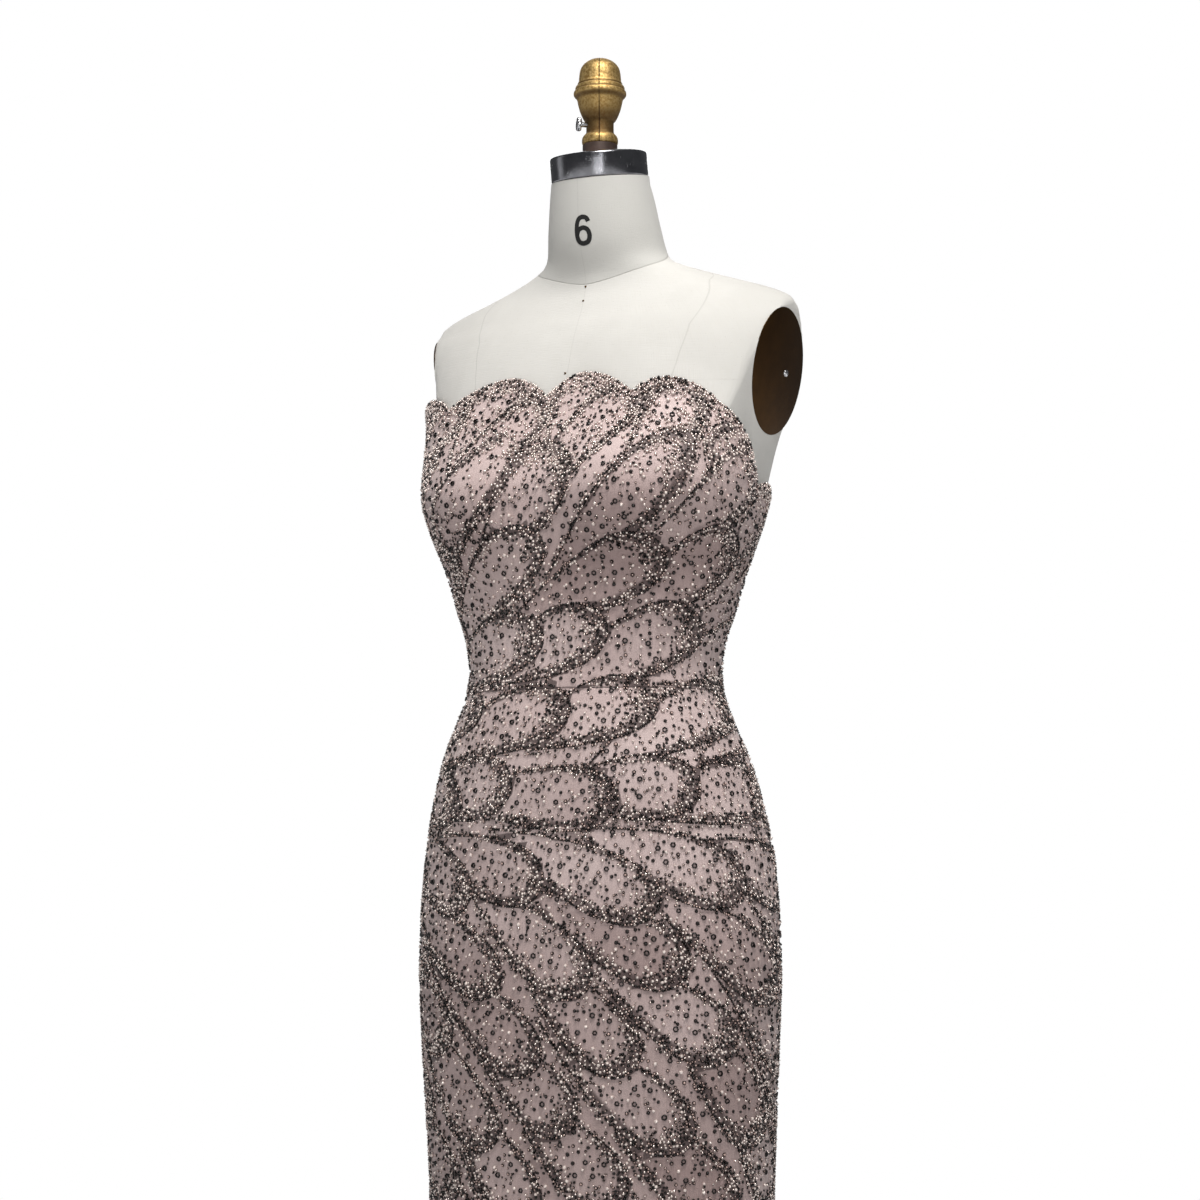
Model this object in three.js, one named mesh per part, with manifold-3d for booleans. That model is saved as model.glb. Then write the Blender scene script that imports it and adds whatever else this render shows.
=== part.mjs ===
// A strapless beaded evening gown on a limbless dress form with a round base.
// Millimetres, +Z up, origin on the floor under the pole, the front faces -Y, the wearer's left is +X.
import * as THREE from "three";
import { mergeVertices } from "three/addons/utils/BufferGeometryUtils.js";
import Module from "manifold-3d";

const wasm = await Module();
wasm.setup();

// Driving dimensions
const WAIST_Z = 1070; // the waist seam above the floor
const HEM_Z = 12; // the hem clears the floor
const WALL = 2; // beaded net over satin, worn as one cloth
const SEAM_GAP = 0.3;
const EASE = 2; // from the form's canvas to the inside of the gown
const HIP_EASE = 2; // more of it over the form's hips
const CUP_PADDING = 3; // fills the cups in front of the form's bust
const SIDE_SEAM_DEG = 95; // from centre front
const TORSO_BOTTOM_H = -290; // heights marked H are above the waist seam
const ZIP = { bottomH: -150, width: 4.4, taper: 50, thick: 2.2 };
const BEAD_RISE = 2; // height of the bead bands over the cloth
const BAND_FOOT = 11; // how far a band's slope reaches
// Cells of the outer cloth, even along one level, and how many of them one inner cell spans
const GRID = {
  bodice: { levelH: 190, cell: 15, innerSpan: 1 },
  skirt: { levelH: -245, cell: 21.5, innerSpan: 2 },
};

// The gown's inside, level by level: the pole axis to the widest line, half width, depths, roundness
const FIGURE = [
  { h: -1060, centre: 0, side: 197, front: 186, back: 184, square: 2.0 },
  { h: -930, centre: -1, side: 185, front: 167, back: 166, square: 2.0 },
  { h: -760, centre: 0, side: 169, front: 141, back: 139, square: 2.05 },
  { h: -600, centre: 1, side: 160, front: 125, back: 122, square: 2.1 },
  { h: -465, centre: 1, side: 162, front: 120, back: 118, square: 2.2 },
  { h: -336, centre: -2, side: 169, front: 122, back: 119, square: 2.2 },
  { h: -245, centre: -3, side: 173, front: 121, back: 118, square: 2.2 },
  { h: -161, centre: -3, side: 168, front: 119, back: 115, square: 2.2 },
  { h: -105, centre: -6, side: 158, front: 114, back: 110, square: 2.2 },
  { h: -68, centre: -9, side: 148, front: 108, back: 106, square: 2.2 },
  { h: -30, centre: -11, side: 132.5, front: 100, back: 99, square: 2.2 },
  { h: 0, centre: -11, side: 121.5, front: 93, back: 92, square: 2.2 },
  { h: 20, centre: -10, side: 119.5, front: 91, back: 90, square: 2.2 },
  { h: 45, centre: -9, side: 122.5, front: 93, back: 92, square: 2.2 },
  { h: 83, centre: -8, side: 134.5, front: 96, back: 96, square: 2.25 },
  { h: 121, centre: -8, side: 146, front: 99, back: 103, square: 2.3 },
  { h: 160, centre: -8, side: 159, front: 102, back: 110, square: 2.4 },
  { h: 185, centre: -9, side: 166, front: 103, back: 113, square: 2.45 },
  { h: 226, centre: 0, side: 173, front: 101, back: 108, square: 2.5 },
  { h: 258, centre: 12, side: 182, front: 95, back: 99, square: 2.4 },
  { h: 292, centre: 22, side: 193, front: 91, back: 92, square: 2.3 },
  { h: 325, centre: 25, side: 200, front: 83, back: 85, square: 2.1 },
  { h: 346, centre: 27, side: 203, front: 75, back: 77, square: 1.9 },
  { h: 362, centre: 29, side: 197, front: 68, back: 70, square: 1.7 },
  { h: 372, centre: 29, side: 185, front: 64, back: 67, square: 1.6 },
  { h: 380, centre: 29, side: 168, front: 61, back: 64, square: 1.55 },
  { h: 390, centre: 28, side: 138, front: 59, back: 61, square: 1.5 },
  { h: 400, centre: 26, side: 107, front: 58, back: 59, square: 1.55 },
  { h: 408, centre: 23, side: 83, front: 58, back: 58, square: 1.65 },
  { h: 415, centre: 20, side: 67.5, front: 58, back: 58, square: 1.8 },
  { h: 424, centre: 17, side: 61, front: 58, back: 58, square: 1.95 },
  { h: 445, centre: 11, side: 57, front: 56, back: 56, square: 2.0 },
  { h: 476, centre: 5, side: 52.5, front: 52, back: 52, square: 2.0 },
  { h: 497, centre: 1, side: 49, front: 49, back: 49, square: 2.0 },
];
// Each side of the bust, which the cups shape
const BUST = { angle: 38, h: 172, rise: 25, halfAngle: 25, halfHeight: 50 };
// Soft flutes that open towards the hem
const FLUTES = { count: 9, startH: -640, depth: 7, phase: 20 };

// The scalloped top edge by angle from centre front, wearer's left positive
const NECKLINE = [
  { at: -180, dip: 180, peak: 193 },
  { at: -150, dip: 180, peak: 193 },
  { at: -122, dip: 180, peak: 195 },
  { at: -99, dip: 192, peak: 240 },
  { at: -84, dip: 262, peak: 287 },
  { at: -61, dip: 272, peak: 295 },
  { at: -10, dip: 273, peak: 295 },
  { at: 38, dip: 272, peak: 285 },
  { at: 66, dip: 261, peak: 229 },
  { at: 89, dip: 186, peak: 192 },
  { at: 106, dip: 180, peak: 191 },
  { at: 130, dip: 180, peak: 193 },
  { at: 155, dip: 180, peak: 193 },
  { at: 180, dip: 180, peak: 193 },
];

// Beaded petals overlap like feathers and fan up over the bodice and down over the skirt
const PETAL = { length: 172, width: 76, stepAlong: 90, stepUp: 62, lift: 2.2, fanH: -95, topH: 214 };
// How far a petal strays from the even layout: place in mm, lean in degrees, length as a share
const STRAY = { place: 7, lean: 6, length: 0.07 };
// The petals whose tips are the scallops
const SCALLOP = { length: 138, drop: 0.42, lean: 84 };
// Which way the petals point, in degrees above level towards the wearer's left
const LEAN = [
  { h: -1060, deg: -62 },
  { h: -600, deg: -54 },
  { h: -420, deg: -47 },
  { h: -250, deg: -36 },
  { h: -160, deg: -20 },
  { h: -95, deg: 4 },
  { h: -55, deg: 20 },
  { h: 10, deg: 21 },
  { h: 70, deg: 27 },
  { h: 140, deg: 43 },
  { h: 200, deg: 61 },
  { h: 290, deg: 72 },
];

const DEG = Math.PI / 180;
const lerp = THREE.MathUtils.lerp;

// A smooth curve through one column of a table
function column(table, key, name) {
  const from = table[0][key];
  const last = table.length - 1;
  return (at) => {
    if (at <= from) return table[0][name];
    if (at >= table[last][key]) return table[last][name];
    const i = table.findIndex((row) => row[key] > at) - 1;
    const span = table[i + 1][key] - table[i][key];
    const t = (at - table[i][key]) / span;
    const slope = (j) => {
      if (j === 0 || j === last) return 0;
      const before = (table[j][name] - table[j - 1][name]) / (table[j][key] - table[j - 1][key]);
      const after = (table[j + 1][name] - table[j][name]) / (table[j + 1][key] - table[j][key]);
      return before * after <= 0 ? 0 : (2 * before * after) / (before + after);
    };
    const [a, b] = [table[i][name], table[i + 1][name]];
    const [p, q] = [slope(i) * span, slope(i + 1) * span];
    return a + t * (p + t * (3 * (b - a) - 2 * p - q + t * (p + q - 2 * (b - a))));
  };
}

const figure = Object.fromEntries(
  ["centre", "side", "front", "back", "square"].map((name) => [name, column(FIGURE, "h", name)]),
);
const leanAt = column(LEAN, "h", "deg");

// Distance from a level's centre to the gown's inside, in the direction deg from centre front
function reach(deg, h, bustRise = BUST.rise) {
  const [s, c] = [Math.sin(deg * DEG), Math.cos(deg * DEG)];
  const depth = c > 0 ? figure.front(h) : figure.back(h);
  const n = figure.square(h);
  const round = (Math.abs(s / figure.side(h)) ** n + Math.abs(c / depth) ** n) ** (-1 / n);
  const bust = [-BUST.angle, BUST.angle].reduce((sum, at) => {
    const across = (deg - at) / BUST.halfAngle;
    const up = (h - BUST.h) / BUST.halfHeight;
    return sum + bustRise * Math.exp(-across * across - up * up);
  }, 0);
  return round + bust;
}

function flute(deg, h) {
  const open = THREE.MathUtils.smoothstep(FLUTES.startH - h, 0, FLUTES.startH - FIGURE[0].h);
  return FLUTES.depth * open * Math.cos((FLUTES.count * deg + FLUTES.phase) * DEG);
}

// A point of the figure, out by the given distance from the gown's inside
function pointAt(deg, h, out, bustRise) {
  const r = reach(deg, h, bustRise) + out;
  return new THREE.Vector3(
    r * Math.sin(deg * DEG),
    figure.centre(h) - r * Math.cos(deg * DEG),
    WAIST_Z + h,
  );
}

const gownPoint = (deg, h, out) => pointAt(deg, h, out + flute(deg, h));

// Top edge: each scallop rises as half a wave between two dips
function topAt(deg) {
  const i = Math.max(0, NECKLINE.findIndex((row) => row.at > deg) - 1);
  const [a, b] = deg >= 180 ? NECKLINE.slice(-2) : [NECKLINE[i], NECKLINE[i + 1]];
  const t = (deg - a.at) / (b.at - a.at);
  const rise = a.peak - (a.dip + b.dip) / 2;
  return lerp(a.dip, b.dip, t) + rise * Math.sin(Math.PI * t) ** 0.8;
}

// Arc length round a level from centre back, by angle and the other way
function around(h) {
  const steps = 120;
  const sums = [0];
  let last = gownPoint(-180, h, 0);
  for (let i = 1; i <= steps; i++) {
    const next = gownPoint(-180 + (360 * i) / steps, h, 0);
    sums.push(sums[i - 1] + next.distanceTo(last));
    last = next;
  }
  const degAt = (arc) => {
    const i = Math.min(steps - 1, Math.max(0, sums.findIndex((sum) => sum > arc) - 1));
    const t = (arc - sums[i]) / (sums[i + 1] - sums[i]);
    return -180 + (360 * (i + t)) / steps;
  };
  const arcAt = (deg) => {
    const at = ((deg + 180) / 360) * steps;
    const i = Math.min(steps - 1, Math.floor(at));
    return lerp(sums[i], sums[i + 1], at - i);
  };
  return { length: sums[steps], degAt, arcAt };
}

function petalFrame(deg, h, leanDeg, size, rank) {
  const step = 0.5;
  const centre = gownPoint(deg, h, 0);
  const level = gownPoint(deg + step, h, 0).sub(gownPoint(deg - step, h, 0)).normalize();
  const up = gownPoint(deg, h + step, 0).sub(gownPoint(deg, h - step, 0)).normalize();
  const along = level.clone().multiplyScalar(Math.cos(leanDeg * DEG));
  along.addScaledVector(up, Math.sin(leanDeg * DEG)).normalize();
  const out = level.clone().cross(up).normalize();
  const across = out.clone().cross(along);
  return { centre, along, across, out, rank, ...size };
}

// The same small unevenness each time, so that no two petals lie alike
const stray = (row, i, kind) => Math.sin(row * 2.4 + i * 3.9 + kind * 1.7);

function petals() {
  const made = [];
  const rows = Math.ceil((PETAL.topH - FIGURE[0].h) / PETAL.stepUp);
  for (let row = 0; row <= rows; row++) {
    const h = PETAL.topH - row * PETAL.stepUp;
    const level = around(h);
    const count = Math.round(level.length / PETAL.stepAlong);
    for (let i = 0; i < count; i++) {
      const arc = ((i + 0.25 + 0.5 * (row % 2)) / count) * level.length;
      const rank = arc + PETAL.lift * Math.abs(h - PETAL.fanH);
      const deg = level.degAt(THREE.MathUtils.clamp(arc + STRAY.place * stray(row, i, 0), 0, level.length));
      const ownH = h + 0.6 * STRAY.place * stray(row, i, 1);
      const lean = leanAt(ownH) + STRAY.lean * stray(row, i, 2);
      const length = PETAL.length * (1 + STRAY.length * stray(row, i, 3));
      made.push(petalFrame(deg, ownH, lean, { length, width: PETAL.width }, rank));
    }
  }
  // The scallops are the tips of a last row, under all the others
  const underRank = 1e5;
  NECKLINE.slice(0, -1).forEach((row, i) => {
    const next = NECKLINE[i + 1];
    const middle = (row.at + next.at) / 2;
    const h = row.peak - SCALLOP.length * SCALLOP.drop;
    const width = gownPoint(row.at, row.dip, 0).distanceTo(gownPoint(next.at, next.dip, 0)) * 1.04;
    made.push(petalFrame(middle, h, SCALLOP.lean, { length: SCALLOP.length, width }, underRank + i));
  });
  return made.sort((a, b) => a.rank - b.rank);
}

const PETALS = petals();

// Half width of a petal at t from root 0 to tip 1, as a share of its greatest half width
const petalShape = (t) => 1.22 * t ** 0.8 * Math.sqrt(Math.max(0, 1 - t ** 4));

function petalAt(point) {
  const from = new THREE.Vector3();
  return PETALS.findIndex((petal) => {
    from.subVectors(point, petal.centre);
    if (Math.abs(from.z) > petal.length) return false;
    if (Math.abs(from.dot(petal.out)) > petal.width) return false;
    const t = from.dot(petal.along) / petal.length + 0.5;
    if (t <= 0 || t >= 1) return false;
    return Math.abs(from.dot(petal.across)) < petalShape(t) * petal.width * 0.5;
  });
}

// The nearest petal outline within a given distance: its offset in angle and height
function nearestEdge(deg, h, within) {
  const here = petalAt(gownPoint(deg, h, 0));
  const perDeg = reach(deg, h) * DEG;
  const directions = 12;
  const halvings = 5;
  let best = null;
  for (let i = 0; i < directions; i++) {
    const turn = (i / directions) * 2 * Math.PI;
    const offset = (d) => [(d * Math.cos(turn)) / perDeg, d * Math.sin(turn)];
    const differs = (d) => {
      const [dDeg, dH] = offset(d);
      return petalAt(gownPoint(deg + dDeg, h + dH, 0)) !== here;
    };
    let far = [0.5, 1].map((share) => share * within).find(differs);
    if (!far) continue;
    let near = 0;
    for (let k = 0; k < halvings; k++) {
      const middle = (near + far) / 2;
      if (differs(middle)) far = middle;
      else near = middle;
    }
    if (!best || far < best.distance) best = { distance: far, offset: offset(far) };
  }
  return best;
}

const triangle = (list, a, b, c) => list.push(a, b, c);

// One cut panel: a fine outer side with raised bands over a plain inner side
function panel({ fromDeg, toDeg, bottomH, top, levelH, cell, innerSpan, name }) {
  // Columns lie evenly along the panel's widest level
  const level = around(levelH);
  const [start, end] = [fromDeg(levelH), toDeg(levelH)];
  const [from, to] = [level.arcAt(start), level.arcAt(end)];
  const cols = 2 * Math.round((to - from) / cell / 2);
  const rows = 2 * Math.round((Math.max(top(start), top(end), top((start + end) / 2)) - bottomH) / cell / 2);
  const shares = Array.from({ length: cols + 1 }, (_, i) => {
    return (level.degAt(lerp(from, to, i / cols)) - start) / (end - start);
  });
  shares[0] = 0;
  shares[cols] = 1;

  const place = (i, j) => {
    const h = lerp(bottomH, top(lerp(start, end, shares[i])), j / rows);
    return { deg: lerp(fromDeg(h), toDeg(h), shares[i]), h };
  };
  const vertices = [];
  const outer = (i, j) => i * (rows + 1) + j;
  for (let i = 0; i <= cols; i++)
    for (let j = 0; j <= rows; j++) {
      const spot = place(i, j);
      const inside = i > 0 && i < cols && j > 0 && j < rows;
      const edge = nearestEdge(spot.deg, spot.h, BAND_FOOT);
      let rise = edge ? BEAD_RISE * (1 - edge.distance / BAND_FOOT) : 0;
      if (inside && edge && edge.distance < cell * 0.4) {
        spot.deg += edge.offset[0];
        spot.h += edge.offset[1];
        rise = BEAD_RISE;
      }
      if (j === rows && name.startsWith("bodice")) rise = BEAD_RISE;
      vertices.push(gownPoint(spot.deg, spot.h, WALL + (inside || j === rows ? rise : 0)));
    }
  const innerStart = vertices.length;
  const k = innerSpan;
  const inner = (i, j) => innerStart + (i / k) * (rows / k + 1) + j / k;
  for (let i = 0; i <= cols; i += k)
    for (let j = 0; j <= rows; j += k) {
      const spot = place(i, j);
      vertices.push(gownPoint(spot.deg, spot.h, 0));
    }

  const index = [];
  for (let i = 0; i < cols; i++)
    for (let j = 0; j < rows; j++) {
      const [a, b, c, d] = [outer(i, j), outer(i + 1, j), outer(i + 1, j + 1), outer(i, j + 1)];
      const shortAC = vertices[a].distanceTo(vertices[c]) < vertices[b].distanceTo(vertices[d]);
      triangle(index, a, b, shortAC ? c : d);
      triangle(index, shortAC ? a : b, c, d);
    }
  for (let i = 0; i < cols; i += k)
    for (let j = 0; j < rows; j += k) {
      triangle(index, inner(i, j), inner(i + k, j + k), inner(i + k, j));
      triangle(index, inner(i, j), inner(i, j + k), inner(i + k, j + k));
    }
  // The rim joins one or two outer cells to each inner one
  const rim = (p, r) => {
    const q = [(p[0] + r[0]) / 2, (p[1] + r[1]) / 2];
    if (k === 2) {
      triangle(index, outer(...q), outer(...p), inner(...p));
      triangle(index, outer(...r), outer(...q), inner(...r));
      triangle(index, outer(...q), inner(...p), inner(...r));
    } else {
      triangle(index, outer(...r), outer(...p), inner(...p));
      triangle(index, outer(...r), inner(...p), inner(...r));
    }
  };
  for (let i = 0; i < cols; i += k) {
    rim([i, 0], [i + k, 0]);
    rim([i + k, rows], [i, rows]);
  }
  for (let j = 0; j < rows; j += k) {
    rim([cols, j], [cols, j + k]);
    rim([0, j + k], [0, j]);
  }
  return closedMesh(vertices, index);
}

function closedMesh(points, index) {
  const geometry = new THREE.BufferGeometry().setFromPoints(points);
  geometry.setIndex(index);
  return geometry;
}

// A closed tube through rings of points, with flat ends
function loft(rings) {
  const n = rings[0].length;
  const points = rings.flat();
  const index = [];
  for (let k = 0; k + 1 < rings.length; k++)
    for (let i = 0; i < n; i++) {
      const [a, b] = [k * n + i, k * n + ((i + 1) % n)];
      triangle(index, a, b, b + n);
      triangle(index, a, b + n, a + n);
    }
  const top = (rings.length - 1) * n;
  [0, top].forEach((start) => {
    const middle = new THREE.Vector3();
    points.slice(start, start + n).forEach((p) => middle.addScaledVector(p, 1 / n));
    const hub = points.push(middle) - 1;
    for (let i = 0; i < n; i++) {
      const [a, b] = [start + i, start + ((i + 1) % n)];
      if (start === top) triangle(index, a, b, hub);
      else triangle(index, b, a, hub);
    }
  });
  return closedMesh(points, index);
}

const solidOf = (geometry) => {
  const bare = geometry.clone();
  bare.deleteAttribute("normal");
  bare.deleteAttribute("uv");
  const merged = mergeVertices(bare, 1e-3);
  return new wasm.Manifold(
    new wasm.Mesh({
      numProp: 3,
      vertProperties: merged.attributes.position.array,
      triVerts: new Uint32Array(merged.index.array),
    }),
  );
};

const geometryOf = (solid) => {
  const mesh = solid.getMesh();
  const geometry = new THREE.BufferGeometry();
  geometry.setAttribute("position", new THREE.BufferAttribute(mesh.vertProperties, 3));
  return geometry.setIndex(new THREE.BufferAttribute(mesh.triVerts, 1));
};

const finish = (color, roughness, metalness = 0) =>
  new THREE.MeshStandardMaterial({ color, roughness, metalness });
const beadedNet = finish(0x9d8786, 0.6, 0.1);
const canvas = finish(0xe3dfd6, 0.9);
const steel = finish(0x55565a, 0.25, 0.9);
const goldPaint = finish(0x9a7432, 0.45, 0.6);
const bronzePaint = finish(0x4a3418, 0.4, 0.5);
const zipMetal = finish(0xa58f8c, 0.35, 0.6);
const darkPaint = finish(0x2c2c2e, 0.5, 0.3);

const part = new THREE.Group();

function add(name, geometry, material, parent = part) {
  const mesh = new THREE.Mesh(geometry, material);
  mesh.name = name;
  parent.add(mesh);
  return mesh;
}

// Edges of the panels, by height
const halfSeam = (h, deg) => SEAM_GAP / 2 / (reach(deg, h) * DEG);
const zipHalf = (h) => {
  const open = THREE.MathUtils.smoothstep(h, ZIP.bottomH - ZIP.taper, ZIP.bottomH);
  return lerp(SEAM_GAP / 2, ZIP.width / 2 + SEAM_GAP, open);
};
const leftSeam = (h) => SIDE_SEAM_DEG - halfSeam(h, SIDE_SEAM_DEG);
const backEdge = (h) => 180 - zipHalf(h) / (reach(180, h) * DEG);
const waistTop = () => -SEAM_GAP / 2;

function gown() {
  const layers = {
    bodice: { bottomH: SEAM_GAP / 2, top: topAt, ...GRID.bodice },
    skirt: { bottomH: HEM_Z - WAIST_Z, top: waistTop, ...GRID.skirt },
  };
  const sides = {
    front: [(h) => -leftSeam(h), leftSeam],
    back_left: [(h) => leftSeam(h) + 2 * halfSeam(h, SIDE_SEAM_DEG), backEdge],
    back_right: [(h) => -backEdge(h), (h) => -leftSeam(h) - 2 * halfSeam(h, SIDE_SEAM_DEG)],
  };
  for (const [layer, cut] of Object.entries(layers))
    for (const [side, [fromDeg, toDeg]] of Object.entries(sides)) {
      const name = `${layer}_${side}`;
      add(name, panel({ ...cut, fromDeg, toDeg, name }), beadedNet);
    }
}

// The closed zip fills the centre back gap from its stop to the top edge
function zip() {
  const topH = topAt(180) - 2;
  const bottomH = ZIP.bottomH + 2;
  const steps = 22;
  const rings = [];
  for (let k = 0; k <= steps; k++) {
    const h = lerp(bottomH, topH, k / steps);
    const y = (out) => gownPoint(180, h, out).y;
    const half = ZIP.width / 2;
    const [near, far] = [y(0), y(ZIP.thick)];
    const z = WAIST_Z + h;
    rings.push([
      new THREE.Vector3(-half, near, z),
      new THREE.Vector3(half, near, z),
      new THREE.Vector3(half, far - 0.6, z),
      new THREE.Vector3(0, far, z),
      new THREE.Vector3(-half, far - 0.6, z),
    ]);
  }
  add("back_zip", loft(rings), zipMetal);
  return topH;
}

// Slider and pull tab at the top of the zip; the tab hangs on the slider's pin
const SLIDER = { width: 7.5, length: 11, thick: 2.6, belowTop: 18 };
const TAB = { width: 6, length: 26, thick: 1.4, hole: 1.7, pin: 1.3 };

function slider(zipTopH) {
  const h = zipTopH - SLIDER.belowTop;
  // It rides on the zip's ridge and clears the cloth beside it
  const ends = [h - SLIDER.length / 2, h + SLIDER.length / 2];
  const ridges = ends.map((end) => gownPoint(180, end, ZIP.thick).y);
  const edges = ends.map((end) => gownPoint(178.5, end, WALL + 0.4).y);
  const surface = Math.max(...ridges, ...edges);
  const z = WAIST_Z + h;
  const body = new THREE.BoxGeometry(SLIDER.width, SLIDER.thick, SLIDER.length);
  const y0 = surface + SEAM_GAP;
  body.translate(0, y0 + SLIDER.thick / 2, z);
  const eyeR = TAB.hole + 1.1;
  const pinY = y0 + SLIDER.thick + eyeR + SEAM_GAP;
  const lug = (x) => {
    const height = eyeR + SEAM_GAP + TAB.pin + 1.2;
    const plate = new THREE.BoxGeometry(1.2, height, 4);
    return solidOf(plate.translate(x, y0 + SLIDER.thick - 0.2 + height / 2, z));
  };
  const lugX = TAB.width / 2 + 0.3 + 0.6;
  const pin = new THREE.CylinderGeometry(TAB.pin, TAB.pin, lugX * 2, 16);
  pin.rotateZ(Math.PI / 2).translate(0, pinY, z);
  const made = solidOf(body).add(lug(lugX)).add(lug(-lugX)).add(solidOf(pin));
  add("zip_slider", geometryOf(made), zipMetal);

  const outline = new THREE.Shape();
  const half = TAB.width / 2;
  outline.absarc(0, 0, half, 0, Math.PI, false);
  outline.lineTo(-half * 0.72, -TAB.length + half);
  outline.absarc(0, -TAB.length + half, half * 0.72, Math.PI, 2 * Math.PI, false);
  outline.closePath();
  // The eye that turns on the pin, and the tab below it
  const eye = new THREE.CylinderGeometry(eyeR, eyeR, TAB.width, 20);
  eye.rotateZ(Math.PI / 2).translate(0, pinY, z);
  const bore = new THREE.CylinderGeometry(TAB.hole, TAB.hole, TAB.width + 2, 20);
  bore.rotateZ(Math.PI / 2).translate(0, pinY, z);
  const blade = new THREE.ExtrudeGeometry(outline, {
    depth: TAB.thick,
    bevelEnabled: false,
    curveSegments: 8,
  });
  blade.rotateX(Math.PI / 2).translate(0, pinY + TAB.thick / 2, z - half);
  const tab = solidOf(blade).add(solidOf(eye)).subtract(solidOf(bore));
  add("zip_pull_tab", geometryOf(tab), zipMetal);
  return { pinY, z };
}

// The dress form: canvas torso and neck, cut flat at the armholes
// Each armhole faces a little to the front and down, and a painted oval plate closes it
const ARMHOLE = { x: 174, y: 24, h: 299, faceFrontDeg: 8, faceDownDeg: 12 };
const PLATE = { halfWide: 43, halfHigh: 60, leanDeg: 8, thick: 1.4, screwBack: 14 };
// The neck ends in a plane that dips to the front, and its cap sits on that plane
const NECK_TOP = { h: 495, dipDeg: 10 };

// Stands on the middle of the neck's end, z square to it; up is a distance along z
function neckFrame(up) {
  const frame = new THREE.Matrix4().makeRotationX(NECK_TOP.dipDeg * DEG);
  const lift = new THREE.Matrix4().makeTranslation(0, 0, up);
  return frame.setPosition(0, 0, WAIST_Z + NECK_TOP.h).multiply(lift);
}

// Stands on the armhole with z facing out, y up; +1 is the wearer's left
function armholeFrame(sign) {
  const [yaw, pitch] = [ARMHOLE.faceFrontDeg * DEG, ARMHOLE.faceDownDeg * DEG];
  const flat = Math.cos(pitch);
  const z = new THREE.Vector3(sign * Math.cos(yaw) * flat, -Math.sin(yaw) * flat, -Math.sin(pitch));
  const x = new THREE.Vector3(0, 0, 1).cross(z).normalize();
  const y = z.clone().cross(x);
  const frame = new THREE.Matrix4().makeBasis(x, y, z);
  return frame.setPosition(sign * ARMHOLE.x, ARMHOLE.y, WAIST_Z + ARMHOLE.h);
}

function torso() {
  const sides = 40;
  const levels = [TORSO_BOTTOM_H, -262, -225, -161, -105, -68, -30, 0, 22, 48, 83, 121, 150, 175];
  levels.push(200, 226, 258, 292, 325, 346, 362, 372, 381, 391, 400, 408, 415, 424, 445, 470, 508);
  const { smoothstep } = THREE.MathUtils;
  // Below the hips the form tapers away inside the skirt
  const inset = (h) => EASE + HIP_EASE * smoothstep(-h, 0, 40) + 26 * smoothstep(-h, 200, 300);
  const rings = levels.map((h) =>
    Array.from({ length: sides }, (_, i) => {
      const deg = (360 * i) / sides;
      return pointAt(deg > 180 ? deg - 360 : deg, h, -inset(h), BUST.rise - CUP_PADDING);
    }),
  );
  const block = 400;
  const solid = [1, -1].reduce((rest, sign) => {
    const cutter = new THREE.BoxGeometry(block, block, block);
    cutter.translate(0, 0, block / 2).applyMatrix4(armholeFrame(sign));
    return rest.subtract(solidOf(cutter));
  }, solidOf(loft(rings)));
  const above = new THREE.BoxGeometry(block, block, block).translate(0, 0, block / 2);
  const cut = solid.subtract(solidOf(above.applyMatrix4(neckFrame(0))));
  add("form_torso", geometryOf(cut), canvas);
}

function armPlates() {
  [1, -1].forEach((sign) => {
    const side = sign > 0 ? "left" : "right";
    const oval = new THREE.Shape();
    const lean = sign * PLATE.leanDeg * DEG;
    oval.absellipse(0, 0, PLATE.halfWide, PLATE.halfHigh, 0, 2 * Math.PI, false, lean);
    const plate = new THREE.ExtrudeGeometry(oval, {
      depth: PLATE.thick,
      bevelEnabled: false,
      curveSegments: 40,
    });
    const screwThick = 1.6;
    const screw = new THREE.CylinderGeometry(2.4, 3.4, screwThick, 12);
    screw.rotateX(Math.PI / 2);
    screw.translate(sign * PLATE.screwBack, 0, PLATE.thick + SEAM_GAP + screwThick / 2);
    const arm = new THREE.Group();
    armholeFrame(sign).decompose(arm.position, arm.quaternion, arm.scale);
    const seat = new THREE.Group();
    seat.position.z = SEAM_GAP;
    arm.add(seat);
    part.add(arm);
    add(`form_arm_plate_${side}`, plate, bronzePaint, seat);
    add(`form_arm_screw_${side}`, screw, steel, seat);
  });
}

const lathe = (profile, segments, bottomH) => {
  const points = profile.map(([r, h]) => new THREE.Vector2(r, h));
  const made = new THREE.LatheGeometry(points, segments);
  return made.rotateX(Math.PI / 2).translate(0, 0, WAIST_Z + bottomH);
};

const CAP = { height: 24.3, radius: 47 };
const BUSH = { radius: 16.8, topH: 529.6 };
const FINIAL_H = BUSH.topH + SEAM_GAP;
// The clamp screw stands out of the finial's neck, to the front and the wearer's right
const CLAMP = { h: 549, deg: -50, shank: 2.6, innerEnd: 7, headFrom: 18.7, headThick: 4.6, headHalf: 6.6 };

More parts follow.
